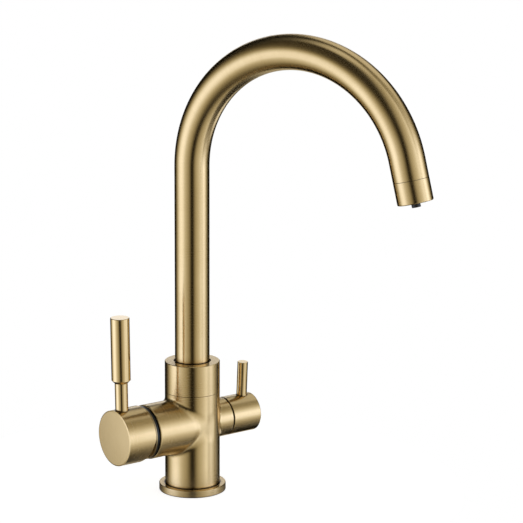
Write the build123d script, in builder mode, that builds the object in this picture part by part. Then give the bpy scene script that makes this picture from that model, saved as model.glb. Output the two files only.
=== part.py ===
from build123d import *
from math import cos, radians, sin, sqrt, tan
import os

os.makedirs("parts", exist_ok=True)

# Deck mounted kitchen tap with a mixer on its left arm and a filtered water valve on its right arm.
# Millimetres. The origin is the centre of the base ring's underside. +Z is up, the user stands at -Y,
# the mixer arm points along -X and the filter arm along +X.

# ---------------------------------------------------------------- fits
SCREWED = 0.10  # radial room between two pieces that screw or push together and stay so
RUNNING = 0.05  # radial room between a turning piece and its bearing
CLEAR = 0.30  # room between pieces that pass each other
FILM = 0.05  # room between the ground faces of two ceramic discs

# ---------------------------------------------------------------- column and base
COLUMN_D = 44.6
BODY_TOP = 83.2  # where the body ends and the collar starts
BASE_D = 54.4
BASE_H = 6.0
BASE_EDGE = 0.6
BASE_SPIGOT_D = 38.0  # the body's foot, flush with the base ring that surrounds it
SEAL_IN = 2.0  # how far the seal lies outside the column's foot
SEAL_W = 3.5
SEAL_H = 2.0

INLET_ON = 12.0  # distance of every tapped hole from the column's axis
INLET_D = 9.0  # tapping size of M10 x 1
INLET_DEEP = 13.0
STUD_D = 6.8  # tapping size of M8
STUD_DEEP = 14.0
STUD_AT = -60.0  # degrees round from the filter arm
HOT_AT = 215.0
COLD_AT = 145.0
FILTER_AT = 0.0
WATERWAY_D = 6.0
FILTER_WATERWAY_D = 5.0
MIXED_RISER_ON = 8.0  # distance of the mixed water's riser from the column's axis
MIXED_RISER_D = 5.0

# ---------------------------------------------------------------- side arms
ARM_Z = 56.0
ARM_EDGE = 0.6
ARM_STEP = 0.6  # how much thinner the mixer arm is than the column
MIXER_ARM_END = 46.3
MIXER_FILLET = 4.7
FILTER_ARM_D = 31.6
FILTER_ARM_END = 30.6
FILTER_FILLET = 2.5

# ---------------------------------------------------------------- collar and spout bearing
COLLAR_H = 25.2
COLLAR_EDGE = 0.4
SEAM_EDGE = 0.2  # broken edges where the collar meets the body
COLLAR_SPIGOT_D = 37.0  # the body's threaded top, inside the collar
COLLAR_SPIGOT_H = 8.8
COLLAR_MOUTH_ROOM = 0.7  # open ring between the tube and the collar's mouth
SLIDE_RING_H = 6.0
SLIDE_RING_WALL = 1.4
SLIDE_RING_SLIT = 2.0
SLIDE_RING_DOWN = 1.3  # how far the ring lies below the collar's top
SOCKET_D = 28.6
SOCKET_FLOOR = 80.6
SPOUT_SCREW_D = 4.0
SPOUT_SCREW_SUNK = 0.5
SPOUT_SCREW_KEY = 2.0

STEM_D = 9.0  # fixed pipe that brings the filtered water up into the foot
STEM_BORE_D = 4.0
STEM_H = 12.0
STEM_SEAT = 4.0
O_RING_T = 1.6  # thickness of every O-ring
O_RING_ROOM = 2.2  # height of its groove

# ---------------------------------------------------------------- spout
TUBE_D = 28.0
TUBE_WALL = 1.0
SWIVEL = 21.0  # degrees that the spout stands round from straight ahead, towards the filter arm
SPRING_Z = 268.4  # where the bend starts
BEND_R = 98.4
BEND = 166.0
OUTLET_STRAIGHT = 32.8  # from the bend's end to the outlet's edge
SLEEVE_L = 17.5
SLEEVE_EDGE = 0.9
SLEEVE_WALL = 1.9
SLEEVE_SPIGOT_L = 5.0
FOOT_FLOOR_GAP = 1.4
FOOT_LAND_H = 10.8
FOOT_GROOVE_H = 4.6
FOOT_SHOULDER_H = 1.2
FOOT_SPIGOT_H = 8.0
FOOT_GROOVE_DEPTH = 1.6
FOOT_PORT_D = 4.6
FOOT_PORT_ON = 9.0
FOOT_PORTS = 4
HOSE_D = 8.0
HOSE_BORE_D = 5.0
NIPPLE_L = 7.0
NIPPLE_WALL = 0.8

AERATOR_RECESS = 1.0
AERATOR_L = 10.0
AERATOR_WALL = 1.1
AERATOR_HUB_WALL = 1.3
AERATOR_RIBS = 6
AERATOR_RIB_W = 1.2
MESH_T = 0.8
MESH_HOLE_D = 1.5
MESH_ROWS = ((7.0, 14), (9.2, 18))  # radius of the row, number of holes
NOZZLE_D = 7.0
NOZZLE_BORE_D = 4.0
NOZZLE_OUT = 3.4
NOZZLE_IN = 13.0
NOZZLE_SPIGOT_L = 6.0

# ---------------------------------------------------------------- mixer cartridge, from the column outwards
CART_D = 35.0
CART_FLOOR = 17.0
CART_NECK_D = 27.2
CART_BASE_T = 4.8
CART_BASE_UP = 0.2
CART_WALL = 2.6
DISC_T = 3.4
FIXED_DISC_D = 29.0
MOVING_DISC_D = 26.0
MOVING_DISC_OFF = 1.4  # how far the disc lies below the axis when shut
PORT_D = 5.6
PORT_SEAL_D = 8.4
PORT_SEAL_T = 1.0
HOT_PORT = (6.1, 5.5)  # seen from outside the arm: towards the front, up
COLD_PORT = (-6.1, 5.5)
MIXED_PORT = (0.0, -7.5)
MIXING_CHAMBER_W = 9.8
MIXING_CHAMBER_L = 14.3
MIXING_CHAMBER_DEEP = 1.7
DRIVER_T = 4.8
DRIVER_W = 19.0
CART_PEG_D = 3.0
CART_PEG_L = 2.0
CART_PEG_ON = 13.5
ROTOR_D = 22.2
ROTOR_FLANGE_T = 3.1
ROTOR_LUG_W = 2.6
ROTOR_LUG_L = 12.0
SHOULDER_T = 1.8
NECK_L = 6.5
PIVOT_U = 42.0  # the spindle's cross pin, out from the column's axis
PIVOT_PIN_D = 3.0
SPINDLE_W = 8.0
SPINDLE_TAIL_D = 4.8
SPINDLE_BALL_D = 5.6
SPINDLE_SQUARE_U = 38.5
SPINDLE_END = 70.0
NUT_D = 38.0
NUT_H = 5.2
NUT_SLOTS = 6
NUT_SLOT_W = 4.0
NUT_SLOT_L = 7.0
NUT_SLOT_DEEP = 1.8

# ---------------------------------------------------------------- mixer handle
MIXER_GAP = 1.2  # dark gap between the arm's end and the cover
COVER_D = 42.6
COVER_FACE = 50.3
COVER_DOME = 3.2
CAP_D = 45.0
CAP_EDGE = 0.35  # bevel of the front face, along the side
CAP_EDGE_FACE = 0.9  # and across the face
CAP_RIM_EDGE = 0.5
CAP_CROWN = 0.5  # rise of the front face above its edge
CAP_RIM = 51.1
CAP_FRONT = 76.7
CAP_WALL = 1.3
CAP_END_T = 14.5
CAP_BOSS_D = 14.4
CAP_BOSS_END = 53.2
MIXER_TILT = 17.0  # the lower rim is cut back by the angle that the lever tilts
LEVER_U = 68.8
LEVER_LEAN = 0.9
LEVER_STEM_D = 10.4
LEVER_IN = 7.5  # the stem's lower end, above the cap's axis
GRIP_D = 15.3
GRIP_FROM = 45.0  # the grip's lower end, above the cap's axis
GRIP_TO = 98.2
GRIP_TAPER = 2.2
GRIP_EDGE = 0.5
GRIP_BORE_L = 14.0
MIXER_SCREW_D = 5.0
MIXER_SCREW_L = 8.0
MIXER_SCREW_U = 66.0
MIXER_SCREW_KEY = 2.5

# ---------------------------------------------------------------- filter valve, from the column outwards
VALVE_FLOOR = 16.0
VALVE_D = 18.0
VALVE_POCKET_D = 20.0
VALVE_THREAD_D = 20.6
VALVE_THREAD_FROM = 23.5
VALVE_FLANGE_D = 25.0
VALVE_FLANGE_T = 2.0
VALVE_HEX = 19.0
VALVE_HEX_T = 4.6
VALVE_DISC_D = 15.2
VALVE_DISC_T = 2.4
VALVE_SEAL_T = 2.0
VALVE_SEAL_BORE_D = 9.0
VALVE_SPINDLE_D = 8.0
VALVE_SPINDLE_END = 44.0
VALVE_PORT_D = 5.0
VALVE_PORT_ON = 4.3
VALVE_DRIVE_T = 1.4
VALVE_WINDOW_D = 3.6
VALVE_O_RING_U = 28.0

# ---------------------------------------------------------------- filter handle
FILTER_GAP = 1.1
FILTER_CAP_END = 58.6
FILTER_CAP_EDGE = 0.9
FILTER_RIM_EDGE = 0.4
FILTER_CAP_BORE_D = 26.0
FILTER_CAP_BORE_L = 6.4
PIN_U = 49.3
PIN_D = 8.6
PIN_IN = 4.0
PIN_OUT = 44.0
PIN_EDGE = 0.3
FILTER_REST = 3.1  # degrees that the photographed lever stands open
FILTER_SCREW_D = 4.0
FILTER_SCREW_L = 6.0
FILTER_SCREW_U = 40.6
FILTER_SCREW_KEY = 2.0

# ---------------------------------------------------------------- places worked out from the sizes
COLLAR_TOP = BODY_TOP + COLLAR_H
MIXER_ARM_D = COLUMN_D - ARM_STEP
SEAL_INNER_D = BASE_SPIGOT_D + 2 * SEAL_IN
SEAL_OUTER_D = SEAL_INNER_D + 2 * SEAL_W
SPIGOT_TOP = BODY_TOP + COLLAR_SPIGOT_H
TUBE_R = TUBE_D / 2
TUBE_BORE_R = TUBE_R - TUBE_WALL
SLIDE_RING_Z = COLLAR_TOP - SLIDE_RING_DOWN - SLIDE_RING_H
SLIDE_RING_R = TUBE_R + RUNNING + SLIDE_RING_WALL

FOOT_BOTTOM = SOCKET_FLOOR + FOOT_FLOOR_GAP
FOOT_GROOVE_Z = FOOT_BOTTOM + FOOT_LAND_H
FOOT_SHOULDER_Z = FOOT_GROOVE_Z + FOOT_GROOVE_H
TUBE_BOTTOM = FOOT_SHOULDER_Z + FOOT_SHOULDER_H
FOOT_TOP = TUBE_BOTTOM + FOOT_SPIGOT_H
FOOT_R = SOCKET_D / 2 - RUNNING
FOOT_GROOVE_R = FOOT_R - FOOT_GROOVE_DEPTH
SPOUT_SCREW_Z = FOOT_GROOVE_Z + FOOT_GROOVE_H / 2
FOOT_O_RING_R = FOOT_R - O_RING_T / 2
FOOT_O_RINGS_Z = (FOOT_BOTTOM + FOOT_LAND_H / 4, FOOT_BOTTOM + FOOT_LAND_H * 3 / 4)
STEM_BOTTOM = SOCKET_FLOOR - STEM_SEAT
STEM_TOP = SOCKET_FLOOR + STEM_H
STEM_O_RING_R = (STEM_D - O_RING_T) / 2
STEM_O_RING_Z = STEM_TOP - 2 * O_RING_ROOM
AERATOR_R = TUBE_R - SLEEVE_WALL - SCREWED
AERATOR_BORE_R = AERATOR_R - AERATOR_WALL
AERATOR_HUB_R = NOZZLE_D / 2 + SCREWED + AERATOR_HUB_WALL
AERATOR_RIB_L = AERATOR_L - AERATOR_RECESS - MESH_T

CART_SEAT = CART_FLOOR + CART_BASE_UP
FIXED_DISC_U = CART_SEAT + CART_BASE_T
MOVING_DISC_U = FIXED_DISC_U + DISC_T
DRIVER_U = MOVING_DISC_U + DISC_T
ROTOR_U = DRIVER_U + DRIVER_T + CLEAR
SHOULDER_U = ROTOR_U + ROTOR_FLANGE_T + SCREWED
NECK_U = SHOULDER_U + SHOULDER_T
NECK_END = NECK_U + NECK_L
HOUSING_BORE_R = CART_D / 2 - CART_WALL
NUT_END = NECK_U + NUT_H
COVER_BACK = MIXER_ARM_END + MIXER_GAP
COVER_HUB_R = NUT_D / 2 - SCREWED
CAP_FLOOR_U = CAP_FRONT - CAP_END_T
CAP_BORE_R = CAP_D / 2 - CAP_WALL
CAP_TIP = CAP_FRONT + CAP_CROWN
CAP_BALL_R = (CAP_D ** 2 / 4 + CAP_CROWN ** 2) / (2 * CAP_CROWN)  # ball that the crowned face is part of
BALL_U = DRIVER_U + SPINDLE_BALL_D / 2 + 3 * CLEAR
LUG_ON = (DRIVER_W + ROTOR_LUG_W) / 2 + CLEAR
ROTOR_SLOT_REACH = (
    (PIVOT_U - ROTOR_U) * tan(radians(MIXER_TILT)) + SPINDLE_W / 2 / cos(radians(MIXER_TILT)) + CLEAR
)
COVER_TOP_U = COVER_FACE + COVER_DOME
COVER_MID_U = COVER_FACE + COVER_DOME / 2
COVER_BORE_R = CART_NECK_D / 2 + CLEAR
GRIP_TAPER_IN = (GRIP_D - LEVER_STEM_D) / 2 - SCREWED - CLEAR

VALVE_SEAL_U = VALVE_FLOOR
VALVE_FIXED_U = VALVE_SEAL_U + VALVE_SEAL_T
VALVE_MOVING_U = VALVE_FIXED_U + VALVE_DISC_T
VALVE_TOP_U = VALVE_MOVING_U + VALVE_DISC_T
VALVE_HEX_U = FILTER_ARM_END + VALVE_HEX_T
VALVE_FLANGE_U = FILTER_ARM_END - VALVE_FLANGE_T
VALVE_WINDOW_U = VALVE_MOVING_U + VALVE_DISC_T / 2
VALVE_O_RING_R = (VALVE_SPINDLE_D - O_RING_T) / 2
VALVE_TURNING_R = VALVE_DISC_D / 2 + SCREWED - CLEAR
FILTER_CAP_RIM = FILTER_ARM_END + FILTER_GAP

MIXER_AXIS = Axis((0, 0, ARM_Z), (-1, 0, 0))
FILTER_AXIS = Axis((0, 0, ARM_Z), (1, 0, 0))


def dome_radius(u):
    """Radius of the cover's dome, a ball round the spindle's pin that the cap's bore swings over."""
    return sqrt((CAP_BORE_R - CLEAR) ** 2 - (u - PIVOT_U) ** 2)


def mixer_plane(u):
    """Plane square to the mixer arm at u out from the column: local X is the front, local Y is up."""
    return Plane(origin=(-u, 0, ARM_Z), x_dir=(0, -1, 0), z_dir=(-1, 0, 0))


def filter_plane(u, turned=0.0):
    """Plane square to the filter arm at u out from the column: local X is the back, local Y is up."""
    back = (0, cos(radians(turned)), sin(radians(turned)))
    return Plane(origin=(u, 0, ARM_Z), x_dir=back, z_dir=(1, 0, 0))


def round_column(angle):
    """Place on the circle of tapped holes, at an angle counted from the filter arm."""
    return (INLET_ON * cos(radians(angle)), INLET_ON * sin(radians(angle)))


def spout_point(reach, height):
    """Place in the spout's own plane, given by its reach from the column and its height."""
    return (reach * sin(radians(SWIVEL)), -reach * cos(radians(SWIVEL)), height)


def filter_lever_plane(u, up):
    """Plane square to the filter lever at u out from the column, up from the arm's axis along the lever."""
    lean = radians(FILTER_REST)
    along = Vector(0, -sin(lean), cos(lean))
    return Plane(origin=Vector(u, 0, ARM_Z) + along * up, x_dir=(1, 0, 0), z_dir=along)


BEND_END = (BEND_R * (1 - cos(radians(BEND))), SPRING_Z + BEND_R * sin(radians(BEND)))
FLOW = (sin(radians(BEND)), cos(radians(BEND)))  # direction of the outlet in the spout's plane
SPOUT_PLANE = Plane(
    origin=(0, 0, 0),
    x_dir=spout_point(1, 0),
    z_dir=(-cos(radians(SWIVEL)), -sin(radians(SWIVEL)), 0),
)


def past_bend(length):
    """Point of the centreline that lies the given length past the bend, in the spout's plane."""
    return (BEND_END[0] + length * FLOW[0], BEND_END[1] + length * FLOW[1])


def outlet_plane(out):
    """Plane square to the outlet, out beyond its edge; a negative value lies inside the tube."""
    reach, height = past_bend(OUTLET_STRAIGHT + out)
    return Plane(
        origin=spout_point(reach, height),
        x_dir=(cos(radians(SWIVEL)), sin(radians(SWIVEL)), 0),
        z_dir=spout_point(FLOW[0], FLOW[1]),
    )


def spout_path(start_z, straight):
    """Centreline from start_z up, round the bend and the given length past it."""
    with BuildLine(SPOUT_PLANE) as path:
        Line((0, start_z), (0, SPRING_Z))
        CenterArc((BEND_R, SPRING_Z), BEND_R, 180, -BEND)
        Line(BEND_END, past_bend(straight))
    return path.line


LEVER_PLANE = Plane(
    origin=(-LEVER_U, 0, ARM_Z),
    x_dir=(cos(radians(LEVER_LEAN)), 0, sin(radians(LEVER_LEAN))),
    z_dir=(-sin(radians(LEVER_LEAN)), 0, cos(radians(LEVER_LEAN))),
)
CROSSING_FROM = Vector(0, 0, STEM_BOTTOM)
CROSSING_TO = Vector(VALVE_WINDOW_U, 0, ARM_Z + VALVE_POCKET_D / 2)

# ================================================================ body
with BuildPart() as tap_body:
    with BuildSketch(Plane.XY.offset(BASE_H)):
        Circle(COLUMN_D / 2)
    extrude(amount=BODY_TOP - BASE_H)
    chamfer(tap_body.edges().filter_by(GeomType.CIRCLE).sort_by(Axis.Z)[-1], SEAM_EDGE)
    with BuildSketch(mixer_plane(0)):
        Circle(MIXER_ARM_D / 2)
    extrude(amount=MIXER_ARM_END)
    with BuildSketch(filter_plane(0)):
        Circle(FILTER_ARM_D / 2)
    extrude(amount=FILTER_ARM_END)
    # cast fillets where the arms leave the column
    for side, radius in ((0, MIXER_FILLET), (-1, FILTER_FILLET)):
        cast_seams = tap_body.edges().filter_by(
            lambda edge: edge.geom_type not in (GeomType.CIRCLE, GeomType.LINE)
        )
        fillet(cast_seams.sort_by(Axis.X)[side], radius)
    arm_ends = tap_body.edges().filter_by(GeomType.CIRCLE).sort_by(Axis.X)
    fillet((arm_ends[0], arm_ends[-1]), ARM_EDGE)
    # foot for the base ring, and threaded top for the collar
    with BuildSketch():
        Circle(BASE_SPIGOT_D / 2)
    extrude(amount=BASE_H)
    with BuildSketch(Plane.XY.offset(BODY_TOP)):
        Circle(COLLAR_SPIGOT_D / 2)
    extrude(amount=COLLAR_SPIGOT_H)
    # socket of the spout, and the seat of the filtered water stem
    with BuildSketch(Plane.XY.offset(SOCKET_FLOOR)):
        Circle(SOCKET_D / 2)
    extrude(amount=SPIGOT_TOP - SOCKET_FLOOR, mode=Mode.SUBTRACT)
    with BuildSketch(Plane.XY.offset(STEM_BOTTOM)):
        Circle(STEM_D / 2 + SCREWED)
    extrude(amount=STEM_SEAT, mode=Mode.SUBTRACT)
    # pocket of the mixer cartridge, with its thread and peg holes
    with BuildSketch(mixer_plane(CART_FLOOR)):
        Circle(CART_D / 2 + SCREWED)
    extrude(amount=MIXER_ARM_END - CART_FLOOR, mode=Mode.SUBTRACT)
    with BuildSketch(mixer_plane(SHOULDER_U)):
        Circle(NUT_D / 2)
    extrude(amount=MIXER_ARM_END - SHOULDER_U, mode=Mode.SUBTRACT)
    with BuildSketch(mixer_plane(CART_FLOOR)):
        with Locations((CART_PEG_ON, 0), (-CART_PEG_ON, 0)):
            Circle(CART_PEG_D / 2 + SCREWED)
    extrude(amount=-CART_PEG_L, mode=Mode.SUBTRACT)
    # pocket of the filter valve, with its thread and flange seat
    with BuildSketch(filter_plane(VALVE_FLOOR)):
        Circle(VALVE_POCKET_D / 2)
    extrude(amount=FILTER_ARM_END - VALVE_FLOOR, mode=Mode.SUBTRACT)
    with BuildSketch(filter_plane(VALVE_THREAD_FROM)):
        Circle(VALVE_THREAD_D / 2 + SCREWED)
    extrude(amount=FILTER_ARM_END - VALVE_THREAD_FROM, mode=Mode.SUBTRACT)
    with BuildSketch(filter_plane(VALVE_FLANGE_U)):
        Circle(VALVE_FLANGE_D / 2 + SCREWED)
    extrude(amount=VALVE_FLANGE_T, mode=Mode.SUBTRACT)
    # tapped holes from below
    with BuildSketch():
        with Locations(round_column(HOT_AT), round_column(COLD_AT), round_column(FILTER_AT)):
            Circle(INLET_D / 2)
    extrude(amount=INLET_DEEP, mode=Mode.SUBTRACT)
    with BuildSketch():
        with Locations(round_column(STUD_AT)):
            Circle(STUD_D / 2)
    extrude(amount=STUD_DEEP, mode=Mode.SUBTRACT)
    # hot and cold waterways, up from the inlets and out to the cartridge's floor
    for inlet, port in ((round_column(HOT_AT), HOT_PORT), (round_column(COLD_AT), COLD_PORT)):
        with BuildSketch():
            with Locations(inlet):
                Circle(WATERWAY_D / 2)
        extrude(amount=ARM_Z + port[1], mode=Mode.SUBTRACT)
        with BuildSketch(mixer_plane(CART_FLOOR)):
            with Locations(port):
                Circle(PORT_D / 2)
        extrude(amount=-(CART_FLOOR + inlet[0]), mode=Mode.SUBTRACT)
    # mixed water, back from the cartridge's floor and up into the spout's socket
    with BuildSketch(mixer_plane(CART_FLOOR)):
        with Locations(MIXED_PORT):
            Circle(PORT_D / 2)
    extrude(amount=MIXED_RISER_ON - CART_FLOOR, mode=Mode.SUBTRACT)
    with BuildSketch(Plane.XY.offset(ARM_Z + MIXED_PORT[1])):
        with Locations((-MIXED_RISER_ON, 0)):
            Circle(MIXED_RISER_D / 2)
    extrude(amount=SOCKET_FLOOR - ARM_Z - MIXED_PORT[1], mode=Mode.SUBTRACT)
    # filtered water, up to the valve's seat, and from the valve's pocket across to the stem
    with BuildSketch():
        with Locations(round_column(FILTER_AT)):
            Circle(FILTER_WATERWAY_D / 2)
    extrude(amount=ARM_Z, mode=Mode.SUBTRACT)
    with BuildSketch(filter_plane(VALVE_FLOOR)):
        Circle(FILTER_WATERWAY_D / 2)
    extrude(amount=INLET_ON - VALVE_FLOOR, mode=Mode.SUBTRACT)
    with BuildSketch(Plane(origin=CROSSING_FROM, z_dir=CROSSING_TO - CROSSING_FROM)):
        Circle(FILTER_WATERWAY_D / 2)
    extrude(amount=(CROSSING_TO - CROSSING_FROM).length, mode=Mode.SUBTRACT)
tap_body.part.label = "tap_body"
export_step(tap_body.part, "parts/tap_body.step")

# ================================================================ base
with BuildPart() as base_ring:
    with BuildSketch():
        Circle(BASE_D / 2)
        Circle(BASE_SPIGOT_D / 2 + SCREWED, mode=Mode.SUBTRACT)
    extrude(amount=BASE_H)
    rims = base_ring.edges().filter_by(GeomType.CIRCLE).group_by(lambda edge: edge.radius)[-1]
    fillet(rims, BASE_EDGE)
    with BuildSketch():
        Circle(SEAL_OUTER_D / 2)
        Circle(SEAL_INNER_D / 2, mode=Mode.SUBTRACT)
    extrude(amount=SEAL_H, mode=Mode.SUBTRACT)
base_ring.part.label = "base_ring"
export_step(base_ring.part, "parts/base_ring.step")

with BuildPart() as base_seal:
    with BuildSketch(Plane.XY.offset(SCREWED)):
        Circle(SEAL_OUTER_D / 2 - SCREWED)
        Circle(SEAL_INNER_D / 2 + SCREWED, mode=Mode.SUBTRACT)
    extrude(amount=SEAL_H - SCREWED)
base_seal.part.label = "base_seal"
export_step(base_seal.part, "parts/base_seal.step")

# ================================================================ collar and spout bearing
with BuildPart() as collar:
    with BuildSketch(Plane.XY.offset(BODY_TOP)):
        Circle(COLUMN_D / 2)
    extrude(amount=COLLAR_H)
    with BuildSketch(Plane.XY.offset(BODY_TOP)):
        Circle(COLLAR_SPIGOT_D / 2 + SCREWED)
    extrude(amount=COLLAR_SPIGOT_H + SCREWED, mode=Mode.SUBTRACT)
    with BuildSketch(Plane.XY.offset(BODY_TOP)):
        Circle(SOCKET_D / 2)
    extrude(amount=COLLAR_H, mode=Mode.SUBTRACT)
    with BuildSketch(Plane.XY.offset(SLIDE_RING_Z - SCREWED)):
        Circle(SLIDE_RING_R + SCREWED)
    extrude(amount=SLIDE_RING_H + 2 * SCREWED, mode=Mode.SUBTRACT)
    with BuildSketch(Plane.XY.offset(SLIDE_RING_Z)):
        Circle(TUBE_R + COLLAR_MOUTH_ROOM)
    extrude(amount=COLLAR_TOP - SLIDE_RING_Z, mode=Mode.SUBTRACT)
    collar_edges = collar.edges().filter_by(GeomType.CIRCLE)
    chamfer(collar_edges.group_by(Axis.Z)[-1], COLLAR_EDGE)
    chamfer(collar_edges.group_by(Axis.Z)[0].sort_by(SortBy.RADIUS)[-1], SEAM_EDGE)
    with BuildSketch(Plane.XZ.offset(-COLUMN_D / 2)):
        with Locations((0, SPOUT_SCREW_Z)):
            Circle(SPOUT_SCREW_D / 2 + SCREWED)
    extrude(amount=COLUMN_D / 2, mode=Mode.SUBTRACT)
collar.part.label = "collar"
export_step(collar.part, "parts/collar.step")

with BuildPart() as spout_slide_ring:
    with BuildSketch(Plane.XY.offset(SLIDE_RING_Z)):
        Circle(SLIDE_RING_R)
        Circle(TUBE_R + RUNNING, mode=Mode.SUBTRACT)
        with Locations((0, SLIDE_RING_R)):
            Rectangle(SLIDE_RING_SLIT, 3 * SLIDE_RING_WALL, mode=Mode.SUBTRACT)
    extrude(amount=SLIDE_RING_H)
spout_slide_ring.part.label = "spout_slide_ring"
export_step(spout_slide_ring.part, "parts/spout_slide_ring.step")

with BuildPart() as spout_screw:
    with BuildSketch(Plane.XZ.offset(SPOUT_SCREW_SUNK - COLUMN_D / 2)):
        with Locations((0, SPOUT_SCREW_Z)):
            Circle(SPOUT_SCREW_D / 2)
    extrude(amount=COLUMN_D / 2 - SPOUT_SCREW_SUNK - FOOT_GROOVE_R - CLEAR)
    with BuildSketch(Plane.XZ.offset(SPOUT_SCREW_SUNK - COLUMN_D / 2)):
        with Locations((0, SPOUT_SCREW_Z)):
            RegularPolygon(SPOUT_SCREW_KEY / 2, 6, major_radius=False)
    extrude(amount=SPOUT_SCREW_KEY, mode=Mode.SUBTRACT)
spout_screw.part.label = "spout_screw"
export_step(spout_screw.part, "parts/spout_screw.step")

with BuildPart() as filter_stem:
    with BuildSketch(Plane.XY.offset(STEM_BOTTOM)):
        Circle(STEM_D / 2)
        Circle(STEM_BORE_D / 2, mode=Mode.SUBTRACT)
    extrude(amount=STEM_TOP - STEM_BOTTOM)
    with BuildSketch(Plane.XY.offset(STEM_O_RING_Z - O_RING_ROOM / 2)):
        Circle(STEM_D / 2)
        Circle(STEM_O_RING_R - O_RING_T / 2, mode=Mode.SUBTRACT)
    extrude(amount=O_RING_ROOM, mode=Mode.SUBTRACT)
filter_stem.part.label = "filter_stem"
export_step(filter_stem.part, "parts/filter_stem.step")

with BuildPart() as stem_o_ring:
    with BuildSketch(Plane.XZ):
        with Locations((STEM_O_RING_R, STEM_O_RING_Z)):
            Circle(O_RING_T / 2)
    revolve(axis=Axis.Z)
stem_o_ring.part.label = "stem_o_ring"
export_step(stem_o_ring.part, "parts/stem_o_ring.step")

# ================================================================ spout
with BuildPart() as spout_tube:
    with BuildSketch(Plane.XY.offset(TUBE_BOTTOM)):
        Circle(TUBE_R)
        Circle(TUBE_BORE_R, mode=Mode.SUBTRACT)
    sweep(path=spout_path(TUBE_BOTTOM, OUTLET_STRAIGHT - SLEEVE_L))
spout_tube.part.label = "spout_tube"
export_step(spout_tube.part, "parts/spout_tube.step")

with BuildPart() as spout_foot:
    with BuildSketch(Plane.XY.offset(FOOT_BOTTOM)):
        Circle(FOOT_R)
    extrude(amount=FOOT_LAND_H)
    with BuildSketch(Plane.XY.offset(FOOT_GROOVE_Z)):
        Circle(FOOT_GROOVE_R)
    extrude(amount=FOOT_GROOVE_H)
    with BuildSketch(Plane.XY.offset(FOOT_SHOULDER_Z)):
        Circle(TUBE_R)
    extrude(amount=FOOT_SHOULDER_H)
    with BuildSketch(Plane.XY.offset(TUBE_BOTTOM)):
        Circle(TUBE_BORE_R - SCREWED)
    extrude(amount=FOOT_SPIGOT_H)
    with BuildSketch(Plane.XY.offset(FOOT_TOP)):
        Circle(HOSE_BORE_D / 2 - SCREWED)
    extrude(amount=NIPPLE_L)
    for ring_z in FOOT_O_RINGS_Z:
        with BuildSketch(Plane.XY.offset(ring_z - O_RING_ROOM / 2)):
            Circle(FOOT_R)
            Circle(FOOT_O_RING_R - O_RING_T / 2, mode=Mode.SUBTRACT)
        extrude(amount=O_RING_ROOM, mode=Mode.SUBTRACT)
    # bore that turns on the stem, and the way on into the hose
    with BuildSketch(Plane.XY.offset(FOOT_BOTTOM)):
        Circle(STEM_D / 2 + RUNNING)
    extrude(amount=STEM_TOP + CLEAR - FOOT_BOTTOM, mode=Mode.SUBTRACT)
    with BuildSketch(Plane.XY.offset(FOOT_BOTTOM)):
        Circle(HOSE_BORE_D / 2 - NIPPLE_WALL)
    extrude(amount=FOOT_TOP + NIPPLE_L - FOOT_BOTTOM, mode=Mode.SUBTRACT)
    with BuildSketch(Plane.XY.offset(FOOT_BOTTOM)):
        with PolarLocations(FOOT_PORT_ON, FOOT_PORTS):
            Circle(FOOT_PORT_D / 2)
    extrude(amount=FOOT_TOP - FOOT_BOTTOM, mode=Mode.SUBTRACT)
spout_foot.part.label = "spout_foot"
export_step(spout_foot.part, "parts/spout_foot.step")

with BuildPart() as spout_o_rings:
    with BuildSketch(Plane.XZ):
        for ring_z in FOOT_O_RINGS_Z:
            with Locations((FOOT_O_RING_R, ring_z)):
                Circle(O_RING_T / 2)
    revolve(axis=Axis.Z)
spout_o_rings.part.label = "spout_o_rings"
export_step(spout_o_rings.part, "parts/spout_o_rings.step")

with BuildPart() as filter_hose:
    with BuildSketch(Plane.XY.offset(FOOT_TOP)):
        Circle(HOSE_D / 2)
        Circle(HOSE_BORE_D / 2, mode=Mode.SUBTRACT)
    sweep(path=spout_path(FOOT_TOP, OUTLET_STRAIGHT - NOZZLE_IN))
filter_hose.part.label = "filter_hose"
export_step(filter_hose.part, "parts/filter_hose.step")

with BuildPart() as outlet_sleeve:
    with BuildSketch(outlet_plane(-SLEEVE_L)):
        Circle(TUBE_R)
    extrude(amount=SLEEVE_L)
    fillet(outlet_sleeve.edges().filter_by(GeomType.CIRCLE).sort_by(Axis.Z)[0], SLEEVE_EDGE)
    with BuildSketch(outlet_plane(-SLEEVE_L)):
        Circle(TUBE_BORE_R - SCREWED)
    extrude(amount=-SLEEVE_SPIGOT_L)
    with BuildSketch(outlet_plane(-SLEEVE_L - SLEEVE_SPIGOT_L)):
        Circle(TUBE_R - SLEEVE_WALL)
    extrude(amount=SLEEVE_L + SLEEVE_SPIGOT_L, mode=Mode.SUBTRACT)
outlet_sleeve.part.label = "outlet_sleeve"
export_step(outlet_sleeve.part, "parts/outlet_sleeve.step")

# ================================================================ outlet insert
with BuildPart() as aerator:
    with BuildSketch(outlet_plane(-AERATOR_RECESS - AERATOR_L)):
        Circle(AERATOR_R)
        Circle(AERATOR_BORE_R, mode=Mode.SUBTRACT)
    extrude(amount=AERATOR_L)
    with BuildSketch(outlet_plane(-AERATOR_RECESS - AERATOR_L)):
        Circle(AERATOR_HUB_R)
        Circle(NOZZLE_D / 2 + SCREWED, mode=Mode.SUBTRACT)
    extrude(amount=AERATOR_L)
    with BuildSketch(outlet_plane(-AERATOR_RECESS - AERATOR_L)):
        with PolarLocations((AERATOR_BORE_R + AERATOR_HUB_R) / 2, AERATOR_RIBS):
            Rectangle(AERATOR_BORE_R - AERATOR_HUB_R + AERATOR_WALL, AERATOR_RIB_W)
    extrude(amount=AERATOR_RIB_L)
aerator.part.label = "aerator"
export_step(aerator.part, "parts/aerator.step")

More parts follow.
